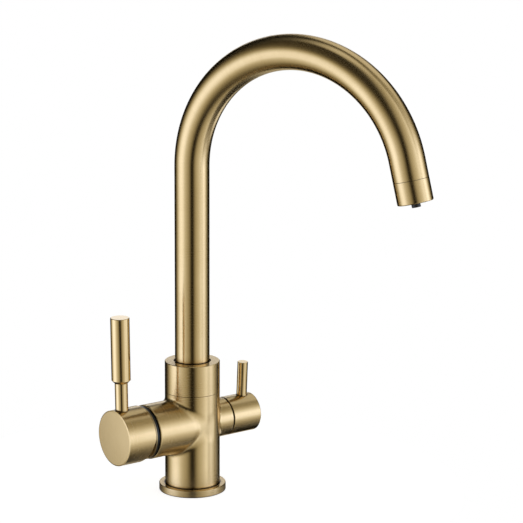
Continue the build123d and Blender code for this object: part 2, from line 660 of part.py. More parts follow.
with BuildPart() as aerator_mesh:
    with BuildSketch(outlet_plane(-2 * AERATOR_RECESS - MESH_T)):
        Circle(AERATOR_BORE_R - SCREWED)
        Circle(AERATOR_HUB_R + SCREWED, mode=Mode.SUBTRACT)
        for row_radius, holes in MESH_ROWS:
            with PolarLocations(row_radius, holes):
                Circle(MESH_HOLE_D / 2, mode=Mode.SUBTRACT)
    extrude(amount=MESH_T)
aerator_mesh.part.label = "aerator_mesh"
export_step(aerator_mesh.part, "parts/aerator_mesh.step")

with BuildPart() as filter_nozzle:
    with BuildSketch(outlet_plane(-NOZZLE_IN)):
        Circle(NOZZLE_D / 2)
    extrude(amount=NOZZLE_IN + NOZZLE_OUT)
    with BuildSketch(outlet_plane(-NOZZLE_IN)):
        Circle(HOSE_BORE_D / 2 - SCREWED)
    extrude(amount=-NOZZLE_SPIGOT_L)
    with BuildSketch(outlet_plane(-NOZZLE_IN - NOZZLE_SPIGOT_L)):
        Circle(HOSE_BORE_D / 2 - NIPPLE_WALL)
    extrude(amount=NOZZLE_SPIGOT_L, mode=Mode.SUBTRACT)
    with BuildSketch(outlet_plane(-NOZZLE_IN)):
        Circle(NOZZLE_BORE_D / 2)
    extrude(amount=NOZZLE_IN + NOZZLE_OUT, mode=Mode.SUBTRACT)
filter_nozzle.part.label = "filter_nozzle"
export_step(filter_nozzle.part, "parts/filter_nozzle.step")

# ================================================================ mixer cartridge
with BuildPart() as cartridge_seals:
    with BuildSketch(mixer_plane(CART_FLOOR)):
        with Locations(HOT_PORT, COLD_PORT, MIXED_PORT):
            Circle(PORT_SEAL_D / 2)
            Circle(PORT_D / 2, mode=Mode.SUBTRACT)
    extrude(amount=PORT_SEAL_T)
cartridge_seals.part.label = "cartridge_seals"
export_step(cartridge_seals.part, "parts/cartridge_seals.step")

with BuildPart() as cartridge_base:
    with BuildSketch(mixer_plane(CART_SEAT)):
        Circle(CART_D / 2)
        with Locations(HOT_PORT, COLD_PORT, MIXED_PORT):
            Circle(PORT_D / 2, mode=Mode.SUBTRACT)
    extrude(amount=CART_BASE_T)
    with BuildSketch(mixer_plane(CART_SEAT)):
        with Locations(HOT_PORT, COLD_PORT, MIXED_PORT):
            Circle(PORT_SEAL_D / 2 + SCREWED)
    extrude(amount=PORT_SEAL_T - CART_BASE_UP, mode=Mode.SUBTRACT)
    with BuildSketch(mixer_plane(CART_SEAT)):
        with Locations((CART_PEG_ON, 0), (-CART_PEG_ON, 0)):
            Circle(CART_PEG_D / 2)
    extrude(amount=SCREWED - CART_BASE_UP - CART_PEG_L)
cartridge_base.part.label = "cartridge_base"
export_step(cartridge_base.part, "parts/cartridge_base.step")

with BuildPart() as cartridge_fixed_disc:
    with BuildSketch(mixer_plane(FIXED_DISC_U)):
        Circle(FIXED_DISC_D / 2)
        with Locations(HOT_PORT, COLD_PORT, MIXED_PORT):
            Circle(PORT_D / 2, mode=Mode.SUBTRACT)
    extrude(amount=DISC_T - FILM)
cartridge_fixed_disc.part.label = "cartridge_fixed_disc"
export_step(cartridge_fixed_disc.part, "parts/cartridge_fixed_disc.step")

with BuildPart() as cartridge_moving_disc:
    with BuildSketch(mixer_plane(MOVING_DISC_U)):
        with Locations((0, -MOVING_DISC_OFF)):
            Circle(MOVING_DISC_D / 2)
    extrude(amount=DISC_T)
    # mixing chamber: shut, its round upper end stays inside the circle of the hot and cold ports
    with BuildSketch(mixer_plane(MOVING_DISC_U)):
        with Locations((0, (MIXING_CHAMBER_W - MIXING_CHAMBER_L) / 2)):
            SlotOverall(MIXING_CHAMBER_L, MIXING_CHAMBER_W, rotation=90)
    extrude(amount=MIXING_CHAMBER_DEEP, mode=Mode.SUBTRACT)
cartridge_moving_disc.part.label = "cartridge_moving_disc"
export_step(cartridge_moving_disc.part, "parts/cartridge_moving_disc.step")

with BuildPart() as cartridge_driver:
    with BuildSketch(mixer_plane(DRIVER_U)):
        with Locations((0, -MOVING_DISC_OFF)):
            Circle(MOVING_DISC_D / 2 - CLEAR)
            Rectangle(DRIVER_W, MOVING_DISC_D, mode=Mode.INTERSECT)
    extrude(amount=DRIVER_T)
    with BuildSketch(mixer_plane(DRIVER_U + 2 * CLEAR)):
        Circle(SPINDLE_BALL_D / 2 + CLEAR)
    extrude(amount=DRIVER_T, mode=Mode.SUBTRACT)
cartridge_driver.part.label = "cartridge_driver"
export_step(cartridge_driver.part, "parts/cartridge_driver.step")

with BuildPart() as cartridge_rotor:
    with BuildSketch(mixer_plane(ROTOR_U)):
        Circle(HOUSING_BORE_R - CLEAR)
    extrude(amount=ROTOR_FLANGE_T)
    with BuildSketch(mixer_plane(ROTOR_U + ROTOR_FLANGE_T)):
        Circle(ROTOR_D / 2)
    extrude(amount=NECK_END - ROTOR_U - ROTOR_FLANGE_T)
    with BuildSketch(mixer_plane(ROTOR_U)):
        with Locations((LUG_ON, 0), (-LUG_ON, 0)):
            Rectangle(ROTOR_LUG_W, ROTOR_LUG_L)
    extrude(amount=DRIVER_U + CLEAR - ROTOR_U)
    with BuildSketch(mixer_plane(ROTOR_U)):
        Rectangle(SPINDLE_W + 2 * CLEAR, 2 * ROTOR_SLOT_REACH)
    extrude(amount=NECK_END - ROTOR_U, mode=Mode.SUBTRACT)
    with BuildSketch(Plane.XZ):
        with Locations((-PIVOT_U, ARM_Z)):
            Circle(PIVOT_PIN_D / 2 + SCREWED)
    extrude(amount=ROTOR_D, both=True, mode=Mode.SUBTRACT)
cartridge_rotor.part.label = "cartridge_rotor"
export_step(cartridge_rotor.part, "parts/cartridge_rotor.step")

with BuildPart() as cartridge_pivot_pin:
    with BuildSketch(Plane.XZ):
        with Locations((-PIVOT_U, ARM_Z)):
            Circle(PIVOT_PIN_D / 2)
    extrude(amount=ROTOR_D / 2 - CLEAR, both=True)
cartridge_pivot_pin.part.label = "cartridge_pivot_pin"
export_step(cartridge_pivot_pin.part, "parts/cartridge_pivot_pin.step")

with BuildPart() as cartridge_housing:
    with BuildSketch(mixer_plane(FIXED_DISC_U)):
        Circle(CART_D / 2)
        Circle(HOUSING_BORE_R, mode=Mode.SUBTRACT)
    extrude(amount=SHOULDER_U - FIXED_DISC_U)
    with BuildSketch(mixer_plane(SHOULDER_U)):
        Circle(CART_D / 2)
        Circle(ROTOR_D / 2 + RUNNING, mode=Mode.SUBTRACT)
    extrude(amount=SHOULDER_T)
    with BuildSketch(mixer_plane(NECK_U)):
        Circle(CART_NECK_D / 2)
        Circle(ROTOR_D / 2 + RUNNING, mode=Mode.SUBTRACT)
    extrude(amount=NECK_L)
cartridge_housing.part.label = "cartridge_housing"
export_step(cartridge_housing.part, "parts/cartridge_housing.step")

with BuildPart() as cartridge_nut:
    with BuildSketch(mixer_plane(NECK_U)):
        Circle(NUT_D / 2 - SCREWED)
        Circle(CART_NECK_D / 2 + SCREWED, mode=Mode.SUBTRACT)
    extrude(amount=NUT_H)
    with BuildSketch(mixer_plane(NUT_END)):
        with PolarLocations(NUT_D / 2, NUT_SLOTS):
            Rectangle(NUT_SLOT_L, NUT_SLOT_W)
    extrude(amount=-NUT_SLOT_DEEP, mode=Mode.SUBTRACT)
cartridge_nut.part.label = "cartridge_nut"
export_step(cartridge_nut.part, "parts/cartridge_nut.step")

with BuildPart() as cartridge_spindle:
    with BuildSketch(mixer_plane(BALL_U)):
        Circle(SPINDLE_TAIL_D / 2)
    extrude(amount=SPINDLE_SQUARE_U - BALL_U)
    with BuildSketch(mixer_plane(SPINDLE_SQUARE_U)):
        Rectangle(SPINDLE_W, SPINDLE_W)
    extrude(amount=SPINDLE_END - SPINDLE_SQUARE_U)
    with Locations((-BALL_U, 0, ARM_Z)):
        Sphere(SPINDLE_BALL_D / 2)
    with BuildSketch(Plane.XZ):
        with Locations((-PIVOT_U, ARM_Z)):
            Circle(PIVOT_PIN_D / 2 + RUNNING)
    extrude(amount=SPINDLE_W, both=True, mode=Mode.SUBTRACT)
cartridge_spindle.part.label = "cartridge_spindle"
export_step(cartridge_spindle.part, "parts/cartridge_spindle.step")

with BuildPart() as cartridge_cover:
    # half section: hub in the arm's mouth, visible ring, dome under the cap
    with BuildSketch(Plane.XZ):
        with BuildLine():
            Polyline(
                (-COVER_TOP_U, ARM_Z + COVER_BORE_R),
                (-NUT_END, ARM_Z + COVER_BORE_R),
                (-NUT_END, ARM_Z + COVER_HUB_R),
                (-COVER_BACK, ARM_Z + COVER_HUB_R),
                (-COVER_BACK, ARM_Z + COVER_D / 2),
                (-COVER_FACE, ARM_Z + COVER_D / 2),
                (-COVER_FACE, ARM_Z + dome_radius(COVER_FACE)),
            )
            ThreePointArc(
                (-COVER_FACE, ARM_Z + dome_radius(COVER_FACE)),
                (-COVER_MID_U, ARM_Z + dome_radius(COVER_MID_U)),
                (-COVER_TOP_U, ARM_Z + dome_radius(COVER_TOP_U)),
            )
            Line(
                (-COVER_TOP_U, ARM_Z + dome_radius(COVER_TOP_U)),
                (-COVER_TOP_U, ARM_Z + COVER_BORE_R),
            )
        make_face()
    revolve(axis=MIXER_AXIS)
cartridge_cover.part.label = "cartridge_cover"
export_step(cartridge_cover.part, "parts/cartridge_cover.step")

# ================================================================ mixer handle
with BuildPart() as mixer_cap:
    with BuildSketch(mixer_plane(CAP_RIM)):
        Circle(CAP_D / 2)
    extrude(amount=CAP_TIP - CAP_RIM)
    with Locations((CAP_BALL_R - CAP_TIP, 0, ARM_Z)):
        Sphere(CAP_BALL_R, mode=Mode.INTERSECT)
    cap_side = mixer_cap.faces().filter_by(GeomType.CYLINDER)[0]
    front_edge = mixer_cap.edges().filter_by(GeomType.CIRCLE).sort_by(Axis.X)[0]
    chamfer(front_edge, CAP_EDGE, CAP_EDGE_FACE, reference=cap_side)
    # the lower rim is cut back, so that it comes to lie along the cover when the lever tilts
    with BuildSketch(Plane.XZ):
        with BuildLine():
            Polyline(
                (-CAP_RIM, ARM_Z),
                (-CAP_RIM - CAP_D * tan(radians(MIXER_TILT)), ARM_Z - CAP_D),
                (-CAP_RIM, ARM_Z - CAP_D),
                close=True,
            )
        make_face()
    extrude(amount=CAP_D, both=True, mode=Mode.SUBTRACT)
    rim_edges = mixer_cap.faces().filter_by(GeomType.PLANE).edges()
    fillet(rim_edges.filter_by(GeomType.LINE, reverse=True), CAP_RIM_EDGE)
    with BuildSketch(mixer_plane(CAP_RIM)):
        Circle(CAP_BORE_R)
    extrude(amount=CAP_FLOOR_U - CAP_RIM, mode=Mode.SUBTRACT)
    with BuildSketch(mixer_plane(CAP_BOSS_END)):
        Circle(CAP_BOSS_D / 2)
    extrude(amount=CAP_FLOOR_U - CAP_BOSS_END)
    with BuildSketch(mixer_plane(CAP_BOSS_END)):
        Rectangle(SPINDLE_W + 2 * SCREWED, SPINDLE_W + 2 * SCREWED)
    extrude(amount=SPINDLE_END + SCREWED - CAP_BOSS_END, mode=Mode.SUBTRACT)
    with BuildSketch(LEVER_PLANE.offset(LEVER_IN)):
        Circle(LEVER_STEM_D / 2 + SCREWED)
    extrude(amount=CAP_D, mode=Mode.SUBTRACT)
    with BuildSketch(Plane.XY.offset(ARM_Z - CAP_D / 2)):
        with Locations((-MIXER_SCREW_U, 0)):
            Circle(MIXER_SCREW_D / 2 + SCREWED)
    extrude(amount=CAP_D / 2, mode=Mode.SUBTRACT)
mixer_cap.part.label = "mixer_cap"
export_step(mixer_cap.part, "parts/mixer_cap.step")

with BuildPart() as mixer_grub_screw:
    with BuildSketch(Plane.XY.offset(ARM_Z - SPINDLE_W / 2)):
        with Locations((-MIXER_SCREW_U, 0)):
            Circle(MIXER_SCREW_D / 2)
    extrude(amount=-MIXER_SCREW_L)
    with BuildSketch(Plane.XY.offset(ARM_Z - SPINDLE_W / 2 - MIXER_SCREW_L)):
        with Locations((-MIXER_SCREW_U, 0)):
            RegularPolygon(MIXER_SCREW_KEY / 2, 6, major_radius=False)
    extrude(amount=MIXER_SCREW_KEY, mode=Mode.SUBTRACT)
mixer_grub_screw.part.label = "mixer_grub_screw"
export_step(mixer_grub_screw.part, "parts/mixer_grub_screw.step")

with BuildPart() as mixer_lever_stem:
    with BuildSketch(LEVER_PLANE.offset(LEVER_IN)):
        Circle(LEVER_STEM_D / 2)
    extrude(amount=GRIP_FROM + GRIP_BORE_L - LEVER_IN)
mixer_lever_stem.part.label = "mixer_lever_stem"
export_step(mixer_lever_stem.part, "parts/mixer_lever_stem.step")

with BuildPart() as mixer_lever_grip:
    with BuildSketch(LEVER_PLANE.offset(GRIP_FROM)):
        Circle(GRIP_D / 2)
    extrude(amount=GRIP_TO - GRIP_FROM)
    grip_ends = mixer_lever_grip.edges().filter_by(GeomType.CIRCLE).sort_by(Axis.Z)
    grip_side = mixer_lever_grip.faces().filter_by(GeomType.CYLINDER)[0]
    chamfer(grip_ends[0], GRIP_TAPER, GRIP_TAPER_IN, reference=grip_side)
    fillet(mixer_lever_grip.edges().filter_by(GeomType.CIRCLE).sort_by(Axis.Z)[-1], GRIP_EDGE)
    with BuildSketch(LEVER_PLANE.offset(GRIP_FROM)):
        Circle(LEVER_STEM_D / 2 + SCREWED)
    extrude(amount=GRIP_BORE_L + SCREWED, mode=Mode.SUBTRACT)
mixer_lever_grip.part.label = "mixer_lever_grip"
export_step(mixer_lever_grip.part, "parts/mixer_lever_grip.step")

# ================================================================ filter valve
with BuildPart() as valve_seat_seal:
    with BuildSketch(filter_plane(VALVE_FLOOR)):
        Circle(VALVE_DISC_D / 2)
        Circle(VALVE_SEAL_BORE_D / 2, mode=Mode.SUBTRACT)
    extrude(amount=VALVE_SEAL_T)
valve_seat_seal.part.label = "valve_seat_seal"
export_step(valve_seat_seal.part, "parts/valve_seat_seal.step")

with BuildPart() as valve_fixed_disc:
    with BuildSketch(filter_plane(VALVE_FIXED_U)):
        Circle(VALVE_DISC_D / 2)
        with Locations((0, VALVE_PORT_ON), (0, -VALVE_PORT_ON)):
            Circle(VALVE_PORT_D / 2, mode=Mode.SUBTRACT)
    extrude(amount=VALVE_DISC_T - FILM)
valve_fixed_disc.part.label = "valve_fixed_disc"
export_step(valve_fixed_disc.part, "parts/valve_fixed_disc.step")

with BuildPart() as valve_moving_disc:
    with BuildSketch(filter_plane(VALVE_MOVING_U, FILTER_REST)):
        Circle(VALVE_TURNING_R)
        with Locations((VALVE_PORT_ON, 0), (-VALVE_PORT_ON, 0)):
            Circle(VALVE_PORT_D / 2, mode=Mode.SUBTRACT)
        with Locations((VALVE_DISC_D / 2, 0), (-VALVE_DISC_D / 2, 0)):
            Rectangle(VALVE_DISC_D - 2 * VALVE_PORT_ON, VALVE_PORT_D, mode=Mode.SUBTRACT)
    extrude(amount=VALVE_DISC_T)
valve_moving_disc.part.label = "valve_moving_disc"
export_step(valve_moving_disc.part, "parts/valve_moving_disc.step")

with BuildPart() as valve_body:
    with BuildSketch(filter_plane(VALVE_FLOOR + SCREWED)):
        Circle(VALVE_D / 2)
    extrude(amount=VALVE_THREAD_FROM - VALVE_FLOOR - SCREWED)
    with BuildSketch(filter_plane(VALVE_THREAD_FROM)):
        Circle(VALVE_THREAD_D / 2)
    extrude(amount=VALVE_FLANGE_U - VALVE_THREAD_FROM)
    with BuildSketch(filter_plane(VALVE_FLANGE_U)):
        Circle(VALVE_FLANGE_D / 2)
    extrude(amount=VALVE_FLANGE_T)
    with BuildSketch(filter_plane(FILTER_ARM_END)):
        RegularPolygon(VALVE_HEX / 2, 6, major_radius=False)
    extrude(amount=VALVE_HEX_T)
    with BuildSketch(filter_plane(VALVE_FLOOR + SCREWED)):
        Circle(VALVE_DISC_D / 2 + SCREWED)
    extrude(amount=VALVE_TOP_U + VALVE_DRIVE_T + SCREWED - VALVE_FLOOR, mode=Mode.SUBTRACT)
    with BuildSketch(filter_plane(VALVE_FLOOR + SCREWED)):
        Circle(VALVE_SPINDLE_D / 2 + RUNNING)
    extrude(amount=VALVE_HEX_U - VALVE_FLOOR, mode=Mode.SUBTRACT)
    # windows that let the water out beside the moving disc
    with BuildSketch(Plane.XY.offset(ARM_Z)):
        with Locations((VALVE_WINDOW_U, 0)):
            Circle(VALVE_WINDOW_D / 2)
    extrude(amount=VALVE_D, both=True, mode=Mode.SUBTRACT)
    with BuildSketch(Plane.XZ):
        with Locations((VALVE_WINDOW_U, ARM_Z)):
            Circle(VALVE_WINDOW_D / 2)
    extrude(amount=VALVE_D, both=True, mode=Mode.SUBTRACT)
valve_body.part.label = "valve_body"
export_step(valve_body.part, "parts/valve_body.step")

with BuildPart() as valve_spindle:
    with BuildSketch(filter_plane(VALVE_TOP_U)):
        Circle(VALVE_TURNING_R)
    extrude(amount=VALVE_DRIVE_T)
    with BuildSketch(filter_plane(VALVE_TOP_U)):
        Circle(VALVE_SPINDLE_D / 2)
    extrude(amount=VALVE_SPINDLE_END - VALVE_TOP_U)
    with BuildSketch(filter_plane(VALVE_O_RING_U - O_RING_ROOM / 2)):
        Circle(VALVE_SPINDLE_D / 2)
        Circle(VALVE_O_RING_R - O_RING_T / 2, mode=Mode.SUBTRACT)
    extrude(amount=O_RING_ROOM, mode=Mode.SUBTRACT)
valve_spindle.part.label = "valve_spindle"
export_step(valve_spindle.part, "parts/valve_spindle.step")

with BuildPart() as valve_o_ring:
    with BuildSketch(Plane.XZ):
        with Locations((VALVE_O_RING_U, ARM_Z + VALVE_O_RING_R)):
            Circle(O_RING_T / 2)
    revolve(axis=FILTER_AXIS)
valve_o_ring.part.label = "valve_o_ring"
export_step(valve_o_ring.part, "parts/valve_o_ring.step")

# ================================================================ filter handle
with BuildPart() as filter_cap:
    with BuildSketch(filter_plane(FILTER_CAP_RIM)):
        Circle(FILTER_ARM_D / 2)
    extrude(amount=FILTER_CAP_END - FILTER_CAP_RIM)
    cap_ends = filter_cap.edges().filter_by(GeomType.CIRCLE).sort_by(Axis.X)
    fillet(cap_ends[-1], FILTER_CAP_EDGE)
    fillet(filter_cap.edges().filter_by(GeomType.CIRCLE).sort_by(Axis.X)[0], FILTER_RIM_EDGE)
    with BuildSketch(filter_plane(FILTER_CAP_RIM)):
        Circle(FILTER_CAP_BORE_D / 2)
    extrude(amount=FILTER_CAP_BORE_L, mode=Mode.SUBTRACT)
    with BuildSketch(filter_plane(FILTER_CAP_RIM)):
        Circle(VALVE_SPINDLE_D / 2 + SCREWED)
    extrude(amount=VALVE_SPINDLE_END + SCREWED - FILTER_CAP_RIM, mode=Mode.SUBTRACT)
    with BuildSketch(filter_lever_plane(PIN_U, PIN_IN)):
        Circle(PIN_D / 2 + SCREWED)
    extrude(amount=FILTER_ARM_D, mode=Mode.SUBTRACT)
    with BuildSketch(filter_lever_plane(FILTER_SCREW_U, 0)):
        Circle(FILTER_SCREW_D / 2 + SCREWED)
    extrude(amount=-FILTER_ARM_D, mode=Mode.SUBTRACT)
filter_cap.part.label = "filter_cap"
export_step(filter_cap.part, "parts/filter_cap.step")

with BuildPart() as filter_lever:
    with BuildSketch(filter_lever_plane(PIN_U, PIN_IN)):
        Circle(PIN_D / 2)
    extrude(amount=PIN_OUT - PIN_IN)
    fillet(filter_lever.edges().filter_by(GeomType.CIRCLE).sort_by(Axis.Z)[-1], PIN_EDGE)
filter_lever.part.label = "filter_lever"
export_step(filter_lever.part, "parts/filter_lever.step")

with BuildPart() as filter_grub_screw:
    with BuildSketch(filter_lever_plane(FILTER_SCREW_U, -VALVE_SPINDLE_D / 2)):
        Circle(FILTER_SCREW_D / 2)
    extrude(amount=-FILTER_SCREW_L)
    with BuildSketch(filter_lever_plane(FILTER_SCREW_U, -VALVE_SPINDLE_D / 2 - FILTER_SCREW_L)):
        RegularPolygon(FILTER_SCREW_KEY / 2, 6, major_radius=False)
    extrude(amount=FILTER_SCREW_KEY, mode=Mode.SUBTRACT)
filter_grub_screw.part.label = "filter_grub_screw"
export_step(filter_grub_screw.part, "parts/filter_grub_screw.step")
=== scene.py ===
"""Dressed model of a kitchen tap: mixer on its left arm, filtered water valve on its right arm."""

import logging
import math
from dataclasses import dataclass, field
from enum import Enum
from typing import ClassVar

import bmesh
import bpy
from mathutils import Matrix, Vector


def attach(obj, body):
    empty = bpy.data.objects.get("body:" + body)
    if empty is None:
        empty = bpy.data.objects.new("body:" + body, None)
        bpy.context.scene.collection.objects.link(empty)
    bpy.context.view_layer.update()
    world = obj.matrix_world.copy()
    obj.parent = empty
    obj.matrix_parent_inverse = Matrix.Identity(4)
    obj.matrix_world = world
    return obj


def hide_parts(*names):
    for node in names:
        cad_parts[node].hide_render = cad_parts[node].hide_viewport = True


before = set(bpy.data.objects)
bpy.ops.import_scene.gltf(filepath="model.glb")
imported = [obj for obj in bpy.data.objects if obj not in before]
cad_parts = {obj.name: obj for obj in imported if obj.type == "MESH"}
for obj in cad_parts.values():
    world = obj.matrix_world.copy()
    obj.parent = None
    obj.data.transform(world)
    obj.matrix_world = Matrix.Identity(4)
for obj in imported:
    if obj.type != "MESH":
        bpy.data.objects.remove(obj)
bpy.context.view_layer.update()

LOG = logging.getLogger("tap")
MM = 0.001

Colour = tuple[float, float, float]
Point = tuple[float, float, float]
Stop = tuple[float, Colour]
Profile = tuple[tuple[float, float], ...]
Bores = tuple[tuple[float, float, float], ...]

ORIGIN = (0.0, 0.0, 0.0)
UP = (0.0, 0.0, 1.0)


class Turned(Enum):
    """Axis that a piece was turned round on the lathe: a point on it and its direction."""

    COLUMN = (ORIGIN, UP)
    ARMS = ((0.0, 0.0, 56.0 * MM), (1.0, 0.0, 0.0))
    LEVER = ((-68.8 * MM, 0.0, 56.0 * MM), (-math.sin(math.radians(0.9)), 0.0, math.cos(math.radians(0.9))))
    PIN = ((49.3 * MM, 0.0, 56.0 * MM), (0.0, -math.sin(math.radians(3.1)), math.cos(math.radians(3.1))))
    # axis of the outlet's sleeve, outward and down
    OUTLET = ((71.5 * MM, -186.3 * MM, 268.5 * MM), (0.0867, -0.2259, -0.9703))


class Shade:
    """Adds and links nodes in one node tree, so that a finish reads as a list of steps."""

    def __init__(self, tree: bpy.types.NodeTree) -> None:
        """Starts on a tree.

        Args:
            tree: The tree of a material, a world or a node group.
        """
        self.tree = tree

    def add(self, kind: str, values: dict | None = None, **settings: object) -> bpy.types.Node:
        """Adds one node.

        Args:
            kind: The node's class name.
            values: Input name or number, with a socket to link or a value to set.
            settings: Properties of the node.

        Returns:
            The new node.
        """
        node = self.tree.nodes.new(kind)
        for name, value in settings.items():
            setattr(node, name, value)
        for key, value in (values or {}).items():
            if isinstance(value, bpy.types.NodeSocket):
                self.tree.links.new(value, node.inputs[key])
            else:
                node.inputs[key].default_value = value
        return node

    def sum(self, operation: str, first: object, second: object = 0.0, third: object = 0.0) -> bpy.types.NodeSocket:
        """Adds a math node.

        Args:
            operation: Blender's name of the operation.
            first: Socket or number.
            second: Socket or number.
            third: Socket or number.

        Returns:
            The result's socket.
        """
        node = self.add("ShaderNodeMath", {0: first, 1: second, 2: third}, operation=operation)
        return node.outputs[0]

    def vector(
        self, operation: str, first: object, second: object = None, scale: object = None
    ) -> bpy.types.NodeSocket:
        """Adds a vector math node.

        Args:
            operation: Blender's name of the operation.
            first: Socket or vector.
            second: Socket or vector.
            scale: Socket or number that scales.

        Returns:
            The result's socket, a number where the operation gives one.
        """
        values = {0: first, 1: second, "Scale": scale}
        given = {key: value for key, value in values.items() if value is not None}
        node = self.add("ShaderNodeVectorMath", given, operation=operation)
        return node.outputs["Value" if operation in ("DOT_PRODUCT", "LENGTH") else "Vector"]

    def between(self, factor: bpy.types.NodeSocket, first: object, second: object) -> bpy.types.NodeSocket:
        """Mixes two vectors.

        Args:
            factor: Socket from 0 to 1.
            first: Socket or vector at 0.
            second: Socket or vector at 1.

        Returns:
            The vector's socket.
        """
        return self.add("ShaderNodeMix", {0: factor, 4: first, 5: second}, data_type="VECTOR").outputs[1]

    def steps(
        self, value: bpy.types.NodeSocket, low: float, high: float, start: float = 0.0, end: float = 1.0
    ) -> bpy.types.NodeSocket:
        """Adds a smooth step.

        Args:
            value: The socket that is mapped.
            low: Where the step starts.
            high: Where the step ends.
            start: Result below the step.
            end: Result above the step.

        Returns:
            The result's socket.
        """
        node = self.add(
            "ShaderNodeMapRange",
            {"Value": value, "From Min": low, "From Max": high, "To Min": start, "To Max": end},
            interpolation_type="SMOOTHSTEP",
        )
        return node.outputs["Result"]

    def ramp(self, value: bpy.types.NodeSocket, stops: list[Stop]) -> bpy.types.NodeSocket:
        """Adds a colour ramp.

        Args:
            value: The socket that is looked up.
            stops: Place from 0 to 1 and colour, in order.

        Returns:
            The colour's socket.
        """
        node = self.add("ShaderNodeValToRGB", {0: value})
        ramp = node.color_ramp
        ramp.interpolation = "EASE" if len(stops) < 3 else "LINEAR"
        while len(ramp.elements) < len(stops):
            ramp.elements.new(1.0)
        for element, (place, colour) in zip(ramp.elements, stops):
            element.position = place
            element.color = (*colour, 1.0)
        return node.outputs["Color"]

    def blend(self, factor: object, first: object, second: object, how: str = "MIX") -> bpy.types.NodeSocket:
        """Mixes two colours.

        Args:
            factor: Socket or number from 0 to 1.
            first: Socket or colour at 0.
            second: Socket or colour at 1.
            how: Blender's name of the blend.

        Returns:
            The colour's socket.
        """
        colours = {
            key: value if isinstance(value, bpy.types.NodeSocket) else (*value, 1.0)
            for key, value in ((6, first), (7, second))
        }
        node = self.add("ShaderNodeMix", {0: factor, **colours}, data_type="RGBA", blend_type=how, clamp_factor=True)
        return node.outputs[2]


def blank_tree(owner: bpy.types.Material | bpy.types.World) -> Shade:
    """Empties the node tree of a material or of the world.

    Args:
        owner: The material or world.

    Returns:
        A helper that fills the tree.
    """
    owner.use_nodes = True
    owner.node_tree.nodes.clear()
    return Shade(owner.node_tree)


